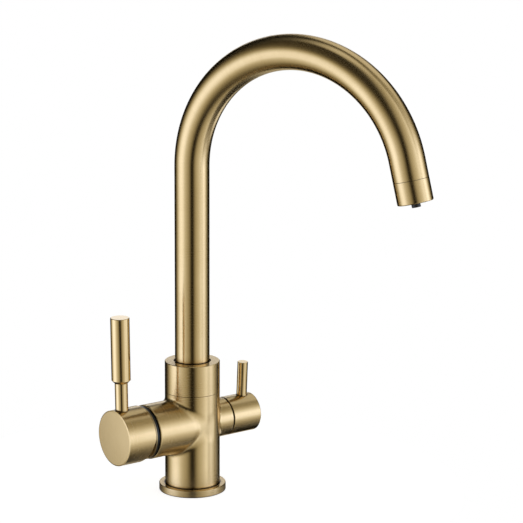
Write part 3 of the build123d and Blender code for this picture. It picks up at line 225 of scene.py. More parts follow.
class Effects:
    """Node groups that more than one finish uses, each built once."""

    # how square to the axis a face has to lie to count as an end face
    END_FROM = 0.9
    # how fast the straight lines of an end face change along their length
    END_SPREAD = 40.0
    # how far the lines move on with the distance from the axis
    SLANT = 1.37
    # layers of brush lines: share of the fineness, spread along the line and share of the height
    LAYERS = ((1.0, 2.2, 0.55), (0.31, 1.1, 0.45))
    LINES_DETAIL = 2.0
    LINES_ROUGH = 0.6
    LINES_STEP = (0.36, 0.64)
    CLOUDS_DETAIL = 4.0
    CLOUDS_ROUGH = 0.55
    CLOUDS_STEP = (0.3, 0.7)
    # edges lightened, partly as rubbed wear and partly as painted highlight
    # how alike the rounded and the plain face directions are, on an edge and off it
    EDGE_STEP = (0.8, 0.995)
    WEAR_AND_GLINT_GRAIN = 260.0
    WEAR_AND_GLINT_STEP = (0.3, 0.62)
    WEAR_AND_GLINT_LEAST = 0.45
    # painted shade that darkens joints, gaps and inner corners, read from ambient occlusion
    CREVICE_SHADE_GRAIN = 420.0
    CREVICE_SHADE_UNEVEN = 0.12
    # share of open sky at which the painted shade in joints and corners is full, and at which it is gone
    CREVICE_SHADE_STEP = (0.58, 0.92)

    def __init__(self) -> None:
        """Builds all the groups."""
        self.turned = self._turned()
        self.lines = self._lines()
        self.clouds = self._clouds()
        self.wear_and_glint = self._wear_and_glint()
        self.joint = self._crevice_shade()

    @staticmethod
    def _group(
        name: str, inputs: dict[str, str], outputs: dict[str, str]
    ) -> tuple[bpy.types.NodeTree, Shade, bpy.types.Node, bpy.types.Node]:
        """Makes an empty group.

        Args:
            name: The group's name.
            inputs: Socket names with their types.
            outputs: Socket names with their types.

        Returns:
            The group, its shade helper, and its input and output nodes.
        """
        tree = bpy.data.node_groups.new(name, "ShaderNodeTree")
        for socket, kind in inputs.items():
            tree.interface.new_socket(name=socket, in_out="INPUT", socket_type=kind)
        for socket, kind in outputs.items():
            tree.interface.new_socket(name=socket, in_out="OUTPUT", socket_type=kind)
        shade = Shade(tree)
        return tree, shade, shade.add("NodeGroupInput"), shade.add("NodeGroupOutput")

    def _turned(self) -> bpy.types.NodeTree:
        """Reads a place on a turned piece: across the brush lines, round the axis, and square to the lines.

        Returns:
            The group.
        """
        tree, shade, entry, leave = self._group(
            "turned_way",
            dict.fromkeys(("Place", "Facing", "Point", "Axis"), "NodeSocketVector"),
            {"Across": "NodeSocketFloat", "Round": "NodeSocketVector", "Square": "NodeSocketVector"},
        )
        axis = entry.outputs["Axis"]
        off = shade.vector("SUBTRACT", entry.outputs["Place"], entry.outputs["Point"])
        axial = shade.vector("DOT_PRODUCT", off, axis)
        radial = shade.vector("SUBTRACT", off, shade.vector("SCALE", axis, scale=axial))
        reach = shade.vector("LENGTH", radial)
        around = shade.vector("NORMALIZE", radial)
        # the end faces are brushed in straight lines, up and down
        ends_on = shade.sum("ABSOLUTE", shade.vector("DOT_PRODUCT", entry.outputs["Facing"], axis))
        end = shade.sum("GREATER_THAN", ends_on, self.END_FROM)
        depth = shade.add("ShaderNodeSeparateXYZ", {0: off}).outputs["Y"]
        along = shade.sum("MULTIPLY_ADD", reach, self.SLANT, axial)
        pick = shade.add("ShaderNodeMix", {0: end, 2: along, 3: depth}, data_type="FLOAT")
        tree.links.new(pick.outputs[0], leave.inputs["Across"])
        straight = shade.vector("SCALE", off, scale=self.END_SPREAD)
        tree.links.new(shade.between(end, around, straight), leave.inputs["Round"])
        square = shade.between(end, shade.vector("ADD", around, axis), (0.0, 1.0, 0.0))
        tree.links.new(square, leave.inputs["Square"])
        return tree

    def _lines(self) -> bpy.types.NodeTree:
        """Fine brush lines: close together across the way, long round it.

        Returns:
            The group.
        """
        tree, shade, entry, leave = self._group(
            "brush_lines",
            {"Across": "NodeSocketFloat", "Round": "NodeSocketVector", "Fineness": "NodeSocketFloat"},
            {"Height": "NodeSocketFloat", "Tone": "NodeSocketFloat"},
        )
        height = 0.0
        for stretch, spread, share in self.LAYERS:
            fine = shade.sum("MULTIPLY", entry.outputs["Fineness"], stretch)
            fine = shade.sum("MULTIPLY", fine, entry.outputs["Across"])
            values = {"Vector": entry.outputs["Round"], "W": fine, "Scale": spread}
            values |= {"Detail": self.LINES_DETAIL, "Roughness": self.LINES_ROUGH}
            noise = shade.add("ShaderNodeTexNoise", values, noise_dimensions="4D")
            height = shade.sum("MULTIPLY_ADD", noise.outputs["Fac"], share, height)
        tree.links.new(height, leave.inputs["Height"])
        tree.links.new(shade.steps(height, *self.LINES_STEP), leave.inputs["Tone"])
        return tree

    def _clouds(self) -> bpy.types.NodeTree:
        """Slow cloudy tone of an aged lacquer.

        Returns:
            The group.
        """
        tree, shade, entry, leave = self._group(
            "aged_tone",
            {"Place": "NodeSocketVector", "Scale": "NodeSocketFloat"},
            {"Tone": "NodeSocketFloat"},
        )
        values = {"Vector": entry.outputs["Place"], "Scale": entry.outputs["Scale"]}
        values |= {"Detail": self.CLOUDS_DETAIL, "Roughness": self.CLOUDS_ROUGH}
        slow = shade.add("ShaderNodeTexNoise", values)
        tree.links.new(shade.steps(slow.outputs["Fac"], *self.CLOUDS_STEP), leave.inputs["Tone"])
        return tree

    def _wear_and_glint(self) -> bpy.types.NodeTree:
        """Mask of the lightened edges: wear that hands and cloths rub bright, together with a painted edge
        highlight.

        Returns:
            The group.
        """
        tree, shade, entry, leave = self._group(
            "edge_wear_and_glint",
            {"Place": "NodeSocketVector", "Radius": "NodeSocketFloat"},
            {"Mask": "NodeSocketFloat"},
        )
        round_off = shade.add("ShaderNodeBevel", {"Radius": entry.outputs["Radius"]}, samples=4)
        plain = shade.add("ShaderNodeNewGeometry")
        alike = shade.vector("DOT_PRODUCT", round_off.outputs[0], plain.outputs["Normal"])
        edge = shade.steps(alike, *self.EDGE_STEP, 1.0, 0.0)
        place = entry.outputs["Place"]
        uneven = shade.add("ShaderNodeTexNoise", {"Vector": place, "Scale": self.WEAR_AND_GLINT_GRAIN, "Detail": 2.0})
        share = shade.steps(uneven.outputs["Fac"], *self.WEAR_AND_GLINT_STEP, self.WEAR_AND_GLINT_LEAST, 1.0)
        wear_and_glint = shade.sum("MULTIPLY", edge, share)
        tree.links.new(wear_and_glint, leave.inputs["Mask"])
        return tree

    def _crevice_shade(self) -> bpy.types.NodeTree:
        """Mask of painted shade in joints, gaps and inner corners, from how little open sky they see.

        Returns:
            The group.
        """
        tree, shade, entry, leave = self._group(
            "painted_crevice_shade",
            {"Place": "NodeSocketVector", "Reach": "NodeSocketFloat"},
            {"Mask": "NodeSocketFloat"},
        )
        sky = shade.add("ShaderNodeAmbientOcclusion", {"Distance": entry.outputs["Reach"]}, samples=8)
        place = entry.outputs["Place"]
        uneven = shade.add("ShaderNodeTexNoise", {"Vector": place, "Scale": self.CREVICE_SHADE_GRAIN, "Detail": 2.0})
        open_to = shade.sum("SUBTRACT", sky.outputs["AO"], self.CREVICE_SHADE_UNEVEN / 2)
        open_to = shade.sum("MULTIPLY_ADD", uneven.outputs["Fac"], self.CREVICE_SHADE_UNEVEN, open_to)
        tree.links.new(shade.steps(open_to, *self.CREVICE_SHADE_STEP, 1.0, 0.0), leave.inputs["Mask"])
        return tree

    @staticmethod
    def place(shade: Shade, group: bpy.types.NodeTree, values: dict) -> bpy.types.Node:
        """Places a group in a material with its own values.

        Args:
            shade: Helper of the material's tree.
            group: One of this class's groups.
            values: Inputs as in Shade.add.

        Returns:
            The group node.
        """
        return shade.add("ShaderNodeGroup", values, node_tree=group)


@dataclass(frozen=True)
class Finish:
    """What every finish has: a name and a way to become a material."""

    name: str

    def material(self, effects: Effects) -> bpy.types.Material:
        """Makes the material, once.

        Args:
            effects: The shared node groups.

        Returns:
            The material of this finish.
        """
        found = bpy.data.materials.get(self.name)
        if found is not None:
            return found
        made = bpy.data.materials.new(self.name)
        shade = blank_tree(made)
        principled = shade.add("ShaderNodeBsdfPrincipled")
        shade.add("ShaderNodeOutputMaterial", {0: principled.outputs[0]})
        self.paint(shade, effects, principled)
        return made

    def paint(self, shade: Shade, effects: Effects, principled: bpy.types.Node) -> None:
        """Sets and links the shader's sockets.

        Args:
            shade: Helper of the material's tree.
            effects: The shared node groups.
            principled: The material's shader.
        """
        raise NotImplementedError

    @staticmethod
    def bump(shade: Shade, height: bpy.types.NodeSocket, distance: float, principled: bpy.types.Node) -> None:
        """Links a height to the shader's normal.

        Args:
            shade: Helper of the material's tree.
            height: The height's socket.
            distance: Depth in metres.
            principled: The material's shader.
        """
        node = shade.add("ShaderNodeBump", {"Height": height, "Distance": distance, "Strength": 1.0})
        shade.tree.links.new(node.outputs[0], principled.inputs["Normal"])


@dataclass(frozen=True)
class Brass(Finish):
    """Antique brass, brushed or polished, with lines round the axis that the piece was turned on."""

    turned: Turned = Turned.COLUMN
    colour: Colour = (0.87, 0.66, 0.35)
    aged: Colour = (0.81, 0.60, 0.30)
    # colour of the lightened edges: rubbed wear and painted highlight
    wear_and_glint: Colour = (0.95, 0.78, 0.50)
    roughness: float = 0.25
    drawn_out: float = 0.9
    uneven: float = 0.03
    depth: float = 0.00000025
    fineness: float = 6500.0
    edge: float = 0.0005
    # colour of the painted shade in joints, gaps and inner corners, and how far that shade reaches
    dark: Colour = (0.06, 0.04, 0.02)
    joint: float = 2.2 * MM
    cloud_scale: float = 24.0
    cloud_share: float = 0.75
    wear_and_glint_share: float = 0.6

    def paint(self, shade: Shade, effects: Effects, principled: bpy.types.Node) -> None:
        """Sets and links the shader's sockets.

        Args:
            shade: Helper of the material's tree.
            effects: The shared node groups.
            principled: The material's shader.
        """
        coordinates = shade.add("ShaderNodeTexCoord")
        place = coordinates.outputs["Object"]
        across, around, square = self.way(shade, effects, coordinates)
        lines = effects.place(shade, effects.lines, {"Across": across, "Round": around, "Fineness": self.fineness})
        clouds = effects.place(shade, effects.clouds, {"Place": place, "Scale": self.cloud_scale})
        wear_and_glint = effects.place(shade, effects.wear_and_glint, {"Place": place, "Radius": self.edge})
        lined = shade.sum("MULTIPLY", lines.outputs["Tone"], 1.0 - self.cloud_share)
        tone = shade.sum("MULTIPLY_ADD", clouds.outputs["Tone"], self.cloud_share, lined)
        base = shade.blend(tone, self.colour, self.aged)
        # edges lightened towards the pale colour: rubbed wear and painted highlight
        base = shade.blend(shade.sum("MULTIPLY", wear_and_glint.outputs["Mask"], self.wear_and_glint_share), base, self.wear_and_glint)
        # painted shade: ambient occlusion darkens joints, gaps and inner corners towards the dark colour
        joint = effects.place(shade, effects.joint, {"Place": place, "Reach": self.joint})
        base = shade.blend(joint.outputs["Mask"], base, self.dark)
        rough = shade.sum("MULTIPLY_ADD", lines.outputs["Tone"], self.uneven, self.roughness - self.uneven / 2)
        rough = shade.sum("MULTIPLY_ADD", clouds.outputs["Tone"], self.uneven / 2, rough)
        principled.inputs["Metallic"].default_value = 1.0
        principled.inputs["Anisotropic"].default_value = self.drawn_out
        across_lines = shade.add(
            "ShaderNodeVectorTransform", {0: square}, vector_type="VECTOR", convert_from="OBJECT", convert_to="WORLD"
        )
        shade.tree.links.new(across_lines.outputs[0], principled.inputs["Tangent"])
        shade.tree.links.new(base, principled.inputs["Base Color"])
        shade.tree.links.new(rough, principled.inputs["Roughness"])
        self.bump(shade, lines.outputs["Height"], self.depth, principled)

    def way(self, shade: Shade, effects: Effects, coordinates: bpy.types.Node) -> list[bpy.types.NodeSocket]:
        """Way of the brush lines.

        Args:
            shade: Helper of the material's tree.
            effects: The shared node groups.
            coordinates: The material's Texture Coordinate node.

        Returns:
            Sockets with the length across the lines, the place round them, and the direction square to them.
        """
        return self.round_axis(shade, effects, coordinates, self.turned)

    @staticmethod
    def round_axis(
        shade: Shade, effects: Effects, coordinates: bpy.types.Node, turned: Turned
    ) -> list[bpy.types.NodeSocket]:
        """Way of lines that run round an axis.

        Args:
            shade: Helper of the material's tree.
            effects: The shared node groups.
            coordinates: The material's Texture Coordinate node.
            turned: The axis.

        Returns:
            The three sockets of way.
        """
        point, axis = turned.value
        place, facing = coordinates.outputs["Object"], coordinates.outputs["Normal"]
        node = effects.place(shade, effects.turned, {"Place": place, "Facing": facing, "Point": point, "Axis": axis})
        return [node.outputs[name] for name in ("Across", "Round", "Square")]


@dataclass(frozen=True)
class Polished(Brass):
    """Brass of both levers, polished to a shine."""

    roughness: float = 0.11
    drawn_out: float = 0.0
    depth: float = 0.0000003


@dataclass(frozen=True)
class TubeBrass(Brass):
    """Brass of the bent tube, whose lines follow the attributes of its mesh."""

    def way(self, shade: Shade, effects: Effects, coordinates: bpy.types.Node) -> list[bpy.types.NodeSocket]:
        """Way of the brush lines, read from the tube's attributes.

        Args:
            shade: Helper of the material's tree.
            effects: The shared node groups; not used here.
            coordinates: The material's Texture Coordinate node; not used here.

        Returns:
            The three sockets of Brass.way.
        """
        way, run = (
            shade.add("ShaderNodeAttribute", attribute_name=name, attribute_type="GEOMETRY").outputs["Vector"]
            for name in (SpoutTube.WAY, SpoutTube.RUN)
        )
        return [shade.add("ShaderNodeSeparateXYZ", {0: way}).outputs["X"], way, run]


@dataclass(frozen=True)
class BodyBrass(Brass):
    """Brass of the cast body: lines round the column, and round the arms where they stand out of it."""

    column_on: float = 22.4 * MM
    blend_on: float = 1.6 * MM

    def way(self, shade: Shade, effects: Effects, coordinates: bpy.types.Node) -> list[bpy.types.NodeSocket]:
        """Way of the brush lines, from column to arms.

        Args:
            shade: Helper of the material's tree.
            effects: The shared node groups.
            coordinates: The material's Texture Coordinate node.

        Returns:
            The three sockets of Brass.way.
        """
        column, arms = (
            self.round_axis(shade, effects, coordinates, axis) for axis in (Turned.COLUMN, Turned.ARMS)
        )
        level = shade.vector("MULTIPLY", coordinates.outputs["Object"], (1.0, 1.0, 0.0))
        out = shade.steps(shade.vector("LENGTH", level), self.column_on, self.column_on + self.blend_on)
        across = shade.add("ShaderNodeMix", {0: out, 2: column[0], 3: arms[0]}, data_type="FLOAT").outputs[0]
        return [across, *(shade.between(out, low, high) for low, high in zip(column[1:], arms[1:]))]


@dataclass(frozen=True)
class Lipped(Finish):
    """Cover of the cartridge: black plastic that is also painted shade of the gap beside it, with a brass lip
    towards the handle darkened as painted shade of the recess.
    """

    # the hub's black is plastic and also painted shade of the gap; the lip's brass is darkened as painted shade
    hub: Colour = (0.006, 0.006, 0.006)
    lip: Colour = (0.50, 0.38, 0.20)
    lip_from: float = 49.3 * MM
    roughness: float = 0.3
    uneven: float = 0.08
    cloud_scale: float = 90.0

    def paint(self, shade: Shade, effects: Effects, principled: bpy.types.Node) -> None:
        """Sets and links the shader's sockets.

        Args:
            shade: Helper of the material's tree.
            effects: The shared node groups.
            principled: The material's shader.
        """
        place = shade.add("ShaderNodeTexCoord").outputs["Object"]
        out = shade.sum("MULTIPLY", shade.add("ShaderNodeSeparateXYZ", {0: place}).outputs["X"], -1.0)
        lip = shade.sum("GREATER_THAN", out, self.lip_from)
        clouds = effects.place(shade, effects.clouds, {"Place": place, "Scale": self.cloud_scale}).outputs["Tone"]
        shade.tree.links.new(shade.blend(lip, self.hub, self.lip), principled.inputs["Base Color"])
        shade.tree.links.new(lip, principled.inputs["Metallic"])
        rough = shade.sum("MULTIPLY_ADD", clouds, self.uneven, self.roughness)
        shade.tree.links.new(rough, principled.inputs["Roughness"])


@dataclass(frozen=True)
class Moulded(Finish):
    """Moulded or pressed material that isn't metal: plastic, rubber or ceramic."""

    colour: Colour = (0.02, 0.02, 0.02)
    second: Colour = (0.03, 0.03, 0.03)
    roughness: float = 0.4
    uneven: float = 0.12
    cloud_scale: float = 90.0
    grain: float = 900.0
    depth: float = 0.00001
    clear: float = 0.0

    def paint(self, shade: Shade, effects: Effects, principled: bpy.types.Node) -> None:
        """Sets and links the shader's sockets.

        Args:
            shade: Helper of the material's tree.
            effects: The shared node groups.
            principled: The material's shader.
        """
        place = shade.add("ShaderNodeTexCoord").outputs["Object"]
        clouds = effects.place(shade, effects.clouds, {"Place": place, "Scale": self.cloud_scale})
        grain = shade.add("ShaderNodeTexNoise", {"Vector": place, "Scale": self.grain, "Detail": 2.0})
        colour = shade.blend(clouds.outputs["Tone"], self.colour, self.second)
        shade.tree.links.new(colour, principled.inputs["Base Color"])
        rough = shade.sum("MULTIPLY_ADD", grain.outputs["Fac"], self.uneven, self.roughness - self.uneven / 2)
        shade.tree.links.new(rough, principled.inputs["Roughness"])
        principled.inputs["Transmission Weight"].default_value = self.clear
        self.bump(shade, grain.outputs["Fac"], self.depth, principled)


@dataclass(frozen=True)
class Steel(Finish):
    """Stainless steel of the screws, the pin and the mesh, slightly blotched."""

    colour: Colour = (0.62, 0.62, 0.6)
    second: Colour = (0.5, 0.5, 0.49)
    roughness: float = 0.3
    uneven: float = 0.1
    cloud_scale: float = 300.0
    depth: float = 0.000004

    def paint(self, shade: Shade, effects: Effects, principled: bpy.types.Node) -> None:
        """Sets and links the shader's sockets.

        Args:
            shade: Helper of the material's tree.
            effects: The shared node groups.
            principled: The material's shader.
        """
        place = shade.add("ShaderNodeTexCoord").outputs["Object"]
        clouds = effects.place(shade, effects.clouds, {"Place": place, "Scale": self.cloud_scale})
        principled.inputs["Metallic"].default_value = 1.0
        colour = shade.blend(clouds.outputs["Tone"], self.colour, self.second)
        shade.tree.links.new(colour, principled.inputs["Base Color"])
        rough = shade.sum("MULTIPLY_ADD", clouds.outputs["Tone"], self.uneven, self.roughness - self.uneven / 2)
        shade.tree.links.new(rough, principled.inputs["Roughness"])
        self.bump(shade, clouds.outputs["Tone"], self.depth, principled)


RAW_COLOUR = (0.75, 0.56, 0.28)
RAW_ARM_BRASS = Brass("raw_arm_brass", turned=Turned.ARMS, colour=RAW_COLOUR, roughness=0.35)
BRUSHED_ARM = Brass("brushed_arm", turned=Turned.ARMS)
BLACK_RUBBER = Moulded("black_rubber", roughness=0.55)
BLACK_PLASTIC = Moulded("black_plastic", colour=(0.018, 0.018, 0.019), roughness=0.32)
WHITE_PLASTIC = Moulded("white_plastic", colour=(0.8, 0.8, 0.78), second=(0.74, 0.74, 0.71))
WHITE_CERAMIC = Moulded("white_ceramic", colour=(0.85, 0.84, 0.8), second=(0.8, 0.79, 0.75), roughness=0.15)
STEEL = Steel("stainless_steel")


def dress(finish: Finish, effects: Effects, *nodes: str) -> None:
    """Gives a finish to CAD nodes.

    Args:
        finish: The finish.
        effects: The shared node groups.
        nodes: Names of the nodes.
    """
    for name in nodes:
        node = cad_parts[name]
        if not node.material_slots:
            node.data.materials.append(None)
        for slot in node.material_slots:
            slot.material = finish.material(effects)
        LOG.info("dressed %s in %s", name, finish.name)


@dataclass(frozen=True)
class Wall:
    """Light of one side wall, by angles in degrees: its level round from the camera, and the share left by height.

    The far part of the wall has the near part's shares if it is given none of its own.
    """

    around: Profile
    upward: Profile
    upward_far: Profile = ()
    far_from: float = 62.0
    far_to: float = 78.0

    def level(
        self, shade: Shade, turn: bpy.types.NodeSocket, rise: bpy.types.NodeSocket, brightest: float
    ) -> bpy.types.NodeSocket:
        """Works out the wall's level as a share of the brightest light.

        Args:
            shade: Helper of the wall's tree.
            turn: Angle round from the camera, in radians.
            rise: Angle above the horizon, in radians.
            brightest: The level that counts as 1.

        Returns:
            The level's socket.
        """
        stops = [(angle / 180.0, (level / brightest,) * 3) for angle, level in self.around]
        side = shade.ramp(shade.sum("DIVIDE", turn, math.pi), stops)
        height = shade.sum("MULTIPLY_ADD", rise, 1.0 / math.pi, 0.5)
        near, far = (
            shade.ramp(height, [((angle + 90.0) / 180.0, (level,) * 3) for angle, level in stops])
            for stops in (self.upward, self.upward_far or self.upward)
        )
        on = shade.steps(turn, math.radians(self.far_from), math.radians(self.far_to))
        return shade.sum("MULTIPLY", side, shade.blend(on, near, far))


class Angle(Enum):
    """Angles that say where a spot of the walls lies, seen from the tap."""

    WAY = "round from the camera, positive to the right"
    TURN = "round from the camera, to either side"
    RISE = "above the horizon"


@dataclass(frozen=True)
class Edge:
    """Soft edge of a panel, in radians. The light lies beyond it, or before it where it closes the panel."""

    angle: Angle
    start: float
    end: float
    closes: bool = False


@dataclass(frozen=True)
class Panel:
    """Panel of light on the walls, with soft edges."""

    level: float
    edges: tuple[Edge, ...]

    def add_to(
        self, shade: Shade, angles: dict[Angle, bpy.types.NodeSocket], brightest: float, there: bpy.types.NodeSocket
    ) -> bpy.types.NodeSocket:
        """Adds the panel's light to the light that is there.

        Args:
            shade: Helper of the walls' tree.
            angles: Socket of each angle.
            brightest: The level that counts as 1.
            there: The level so far.

        Returns:
            The new level's socket.
        """
        seen = 1.0
        for edge in self.edges:
            start, end = (1.0, 0.0) if edge.closes else (0.0, 1.0)
            step = shade.steps(angles[edge.angle], edge.start, edge.end, start, end)
            seen = shade.sum("MULTIPLY", seen, step)
        return shade.sum("MULTIPLY_ADD", seen, self.level / brightest, there)


def spin_outline(shape: bmesh.types.BMesh, outline: Profile, steps: int, cell: float = math.inf) -> None:
    """Spins an outline round the upright axis.

    Args:
        shape: The empty shape that it is made in.
        outline: Radius and height of each corner, from axis to axis.
        steps: Facets round the axis.
        cell: Length of the cells that longer sides are cut into.
    """
    corners = [shape.verts.new((radius, 0.0, height)) for radius, height in outline]
    for side in [shape.edges.new(pair) for pair in zip(corners, corners[1:])]:
        cuts = int(side.calc_length() / cell)
        if cuts > 1:
            bmesh.ops.subdivide_edges(shape, edges=[side], cuts=cuts)
    geometry = [*shape.verts, *shape.edges]
    bmesh.ops.spin(shape, geom=geometry, cent=ORIGIN, axis=UP, angle=math.tau, steps=steps, use_merge=True)


@dataclass
class Studio:
    """Camera, floor, soft walls and the white world behind them."""

    place: Point = (-1.1450, -1.5924, 0.6334)
    azimuth: float = math.radians(37.344)
    pitch: float = math.radians(12.730)
    roll: float = math.radians(0.260)
    lens: float = 172.46
    sensor: float = 36.0
    wall_on: float = 2.6
    wall_up: float = 3.0
    middle: Point = (0.01, -0.04, 0.15)
    floor_on: float = 0.22
    floor_tone: float = 0.5
    floor_glow: float = 0.9
    foot_on: float = 0.052
    foot_seen: float = 0.5
    floor_mirrored: float = 0.15
    floor_down: float = 0.3 * MM
    foot_down: float = 0.4 * MM
    floor_steps: int = 128
    foot_steps: int = 64
    wall_steps: int = 96
    wall_merge: float = 0.1 * MM
    world_light: float = 0.35
    panels: tuple[Panel, ...] = (
        # pale wall behind the tap, above the horizon
        Panel(1.1, (
            Edge(Angle.TURN, math.radians(160.0), math.radians(171.0)),
            Edge(Angle.RISE, 0.04, 0.12),
            Edge(Angle.RISE, 0.30, 0.44, closes=True),
        )),
        # strip of it below the horizon, for the sides that face away
        Panel(0.5, (
            Edge(Angle.TURN, math.radians(166.0), math.radians(174.0)),
            Edge(Angle.RISE, -0.05, 0.02, closes=True),
        )),
        # high panel behind on the right, which the arms' upper sides show
        Panel(0.62, (
            Edge(Angle.WAY, math.radians(100.0), math.radians(118.0)),
            Edge(Angle.RISE, 0.42, 0.62),
            Edge(Angle.RISE, 1.0, 1.2, closes=True),
        )),
        # low panel behind on the right, which the inner side of the arch shows
        Panel(0.95, (
            Edge(Angle.WAY, math.radians(112.0), math.radians(124.0)),
            Edge(Angle.WAY, 2.5, 2.7, closes=True),
            Edge(Angle.RISE, -0.80, -0.70),
            Edge(Angle.RISE, -0.50, -0.36, closes=True),
        )),
        # panel overhead
        Panel(0.6, (Edge(Angle.RISE, math.radians(70.0), math.radians(80.0)),)),
    )
    left: Wall = Wall(
        around=(
            (0.0, 0.008), (3.0, 0.02), (7.0, 0.08), (13.0, 0.22), (20.0, 0.38), (27.0, 0.49),
            (40.0, 0.68), (49.0, 0.84), (56.0, 1.08), (64.0, 1.28), (73.0, 1.38), (84.0, 1.30),
            (92.0, 1.12), (102.0, 0.74), (114.0, 0.38), (124.0, 0.12), (134.0, 0.012), (180.0, 0.008),
        ),
        upward=(
            (-90.0, 0.04), (-66.0, 0.15), (-54.0, 0.30), (-42.0, 0.46), (-30.0, 0.64), (-18.0, 0.96),
            (2.0, 1.0), (8.0, 0.92), (14.0, 0.75), (20.0, 0.50), (30.0, 0.18), (40.0, 0.07),
            (66.0, 0.03), (90.0, 0.03),
        ),
    )
    right: Wall = Wall(
        around=(
            (0.0, 0.008), (7.0, 0.03), (11.0, 0.10), (17.0, 0.25), (24.0, 0.40), (31.0, 0.50),
            (43.0, 0.64), (51.0, 0.76), (58.0, 0.92), (66.0, 1.10), (75.0, 1.34), (82.0, 1.74),
            (90.0, 1.74), (98.0, 1.26), (107.0, 0.74), (116.0, 0.30), (125.0, 0.08), (135.0, 0.01),
            (180.0, 0.008),
        ),
        upward=(
            (-90.0, 0.25), (-66.0, 0.48), (-54.0, 0.62), (-42.0, 0.76), (-30.0, 0.92), (-18.0, 1.0),
            (16.0, 1.0), (28.0, 0.90), (42.0, 0.70), (54.0, 0.58), (66.0, 0.42), (80.0, 0.25),
            (90.0, 0.20),
        ),
        upward_far=(
            (-90.0, 0.01), (-66.0, 0.01), (-52.0, 0.03), (-38.0, 0.09), (-26.0, 0.22), (-18.0, 0.46),
            (-12.0, 0.76), (-3.0, 0.96), (6.0, 1.04), (15.0, 0.66), (28.0, 0.32), (40.0, 0.22),
            (50.0, 0.16), (60.0, 0.12), (90.0, 0.1),
        ),
    )
    brightest: float = 1.5
    # how warm the wall's light is, from its dimmest to its brightest part
    tint: tuple[Stop, ...] = (
        (0.04, (1.0, 0.87, 0.60)),
        (0.157, (1.0, 0.929, 0.67)),
        (0.31, (1.0, 0.97, 0.82)),
        (0.47, (1.0, 1.014, 1.01)),
        (0.63, (1.0, 1.054, 1.17)),
        (0.72, (1.0, 1.075, 1.27)),
        (1.0, (1.0, 1.09, 1.40)),
    )

    def build(self) -> None:
        """Builds everything that isn't the tap."""
        self._camera()
        self._world()
        self._floor()
        self._walls()

    def _camera(self) -> None:
        """Stands the camera where the photograph was taken from."""
        ahead = Vector((
            math.sin(self.azimuth) * math.cos(self.pitch),
            math.cos(self.azimuth) * math.cos(self.pitch),
            -math.sin(self.pitch),
        ))
        right = Vector((math.cos(self.azimuth), -math.sin(self.azimuth), 0.0))
        above = right.cross(ahead)
        across = right * math.cos(self.roll) + above * math.sin(self.roll)
        upward = above * math.cos(self.roll) - right * math.sin(self.roll)
        data = bpy.data.cameras.new("photo_camera")
        data.lens = self.lens
        data.sensor_width = self.sensor
        camera = bpy.data.objects.new("photo_camera", data)
        turn = Matrix((across, upward, -ahead)).transposed().to_4x4()
        camera.matrix_world = Matrix.Translation(self.place) @ turn
        bpy.context.scene.collection.objects.link(camera)
        bpy.context.scene.camera = camera
        bpy.context.scene.view_settings.view_transform = "Standard"
        LOG.info("built the camera")

    @staticmethod
    def _seen(shade: Shade, in_metal: float) -> bpy.types.NodeSocket:
        """Share of the white that a ray sees: all of it from the camera, in_metal of it in a reflection.

        Args:
            shade: Helper of the tree.
            in_metal: Share for glossy and transmitted rays.

        Returns:
            The share's socket.
        """
        path = shade.add("ShaderNodeLightPath")
        mirrored = shade.sum("MAXIMUM", path.outputs["Is Glossy Ray"], path.outputs["Is Transmission Ray"])
        mirrored = shade.sum("MULTIPLY", mirrored, in_metal)
        return shade.sum("MAXIMUM", path.outputs["Is Camera Ray"], mirrored)

    def _world(self) -> None:
        """White where the camera or a reflection sees it, soft grey as light."""
        world = bpy.data.worlds.new("white_room")
        bpy.context.scene.world = world
        shade = blank_tree(world)
        strength = shade.steps(self._seen(shade, 1.0), 0.0, 1.0, self.world_light, 1.0)
        back = shade.add("ShaderNodeBackground", {"Color": (1.0, 1.0, 1.0, 1.0), "Strength": strength})
        shade.add("ShaderNodeOutputWorld", {0: back.outputs[0]})
        LOG.info("built the world")

    @staticmethod
    def _object(name: str, shape: bmesh.types.BMesh, paint: bpy.types.Material) -> bpy.types.Object:
        """Makes a stage object from a finished shape.

        Args:
            name: The object's name.
            shape: Its shape, which is freed.
            paint: Its material.

        Returns:
            The object.
        """
        mesh = bpy.data.meshes.new(name)
        shape.to_mesh(mesh)
        shape.free()
        mesh.materials.append(paint)
        made = bpy.data.objects.new(name, mesh)
        bpy.context.scene.collection.objects.link(made)
        LOG.info("built the stage's %s", name)
        return made

    def _floor_paint(self, name: str, seen: float = 1.0) -> bpy.types.Material:
        """Matt paint that also glows, so that the camera sees it white.

        Args:
            name: The material's name.
            seen: Share of the paint that isn't clear.

        Returns:
            The material.
        """
        paint = bpy.data.materials.new(name)
        shade = blank_tree(paint)
        matt = shade.add("ShaderNodeBsdfDiffuse", {"Color": (*(self.floor_tone,) * 3, 1.0)})
        strength = shade.sum("MULTIPLY", self._seen(shade, self.floor_mirrored), self.floor_glow)
        glow = shade.add("ShaderNodeEmission", {"Strength": strength})
        surface = shade.add("ShaderNodeAddShader", {0: matt.outputs[0], 1: glow.outputs[0]})
        if seen < 1.0:
            clear = shade.add("ShaderNodeBsdfTransparent")
            surface = shade.add("ShaderNodeMixShader", {0: seen, 1: clear.outputs[0], 2: surface.outputs[0]})
        shade.add("ShaderNodeOutputMaterial", {0: surface.outputs[0]})
        return paint

    def _disc(self, radius: float, down: float, paint: bpy.types.Material, steps: int) -> bpy.types.Object:
        """Lays a disc under the tap, with the name of its paint.

        Args:
            radius: The disc's radius.
            down: How far it lies below the base.
            paint: Its material.
            steps: Corners of its outline.

        Returns:
            The disc.
        """
        shape = bmesh.new()
        bmesh.ops.create_circle(shape, cap_ends=True, segments=steps, radius=radius)
        bmesh.ops.translate(shape, verts=shape.verts, vec=(0.0, 0.0, -down))
        return self._object(paint.name, shape, paint)

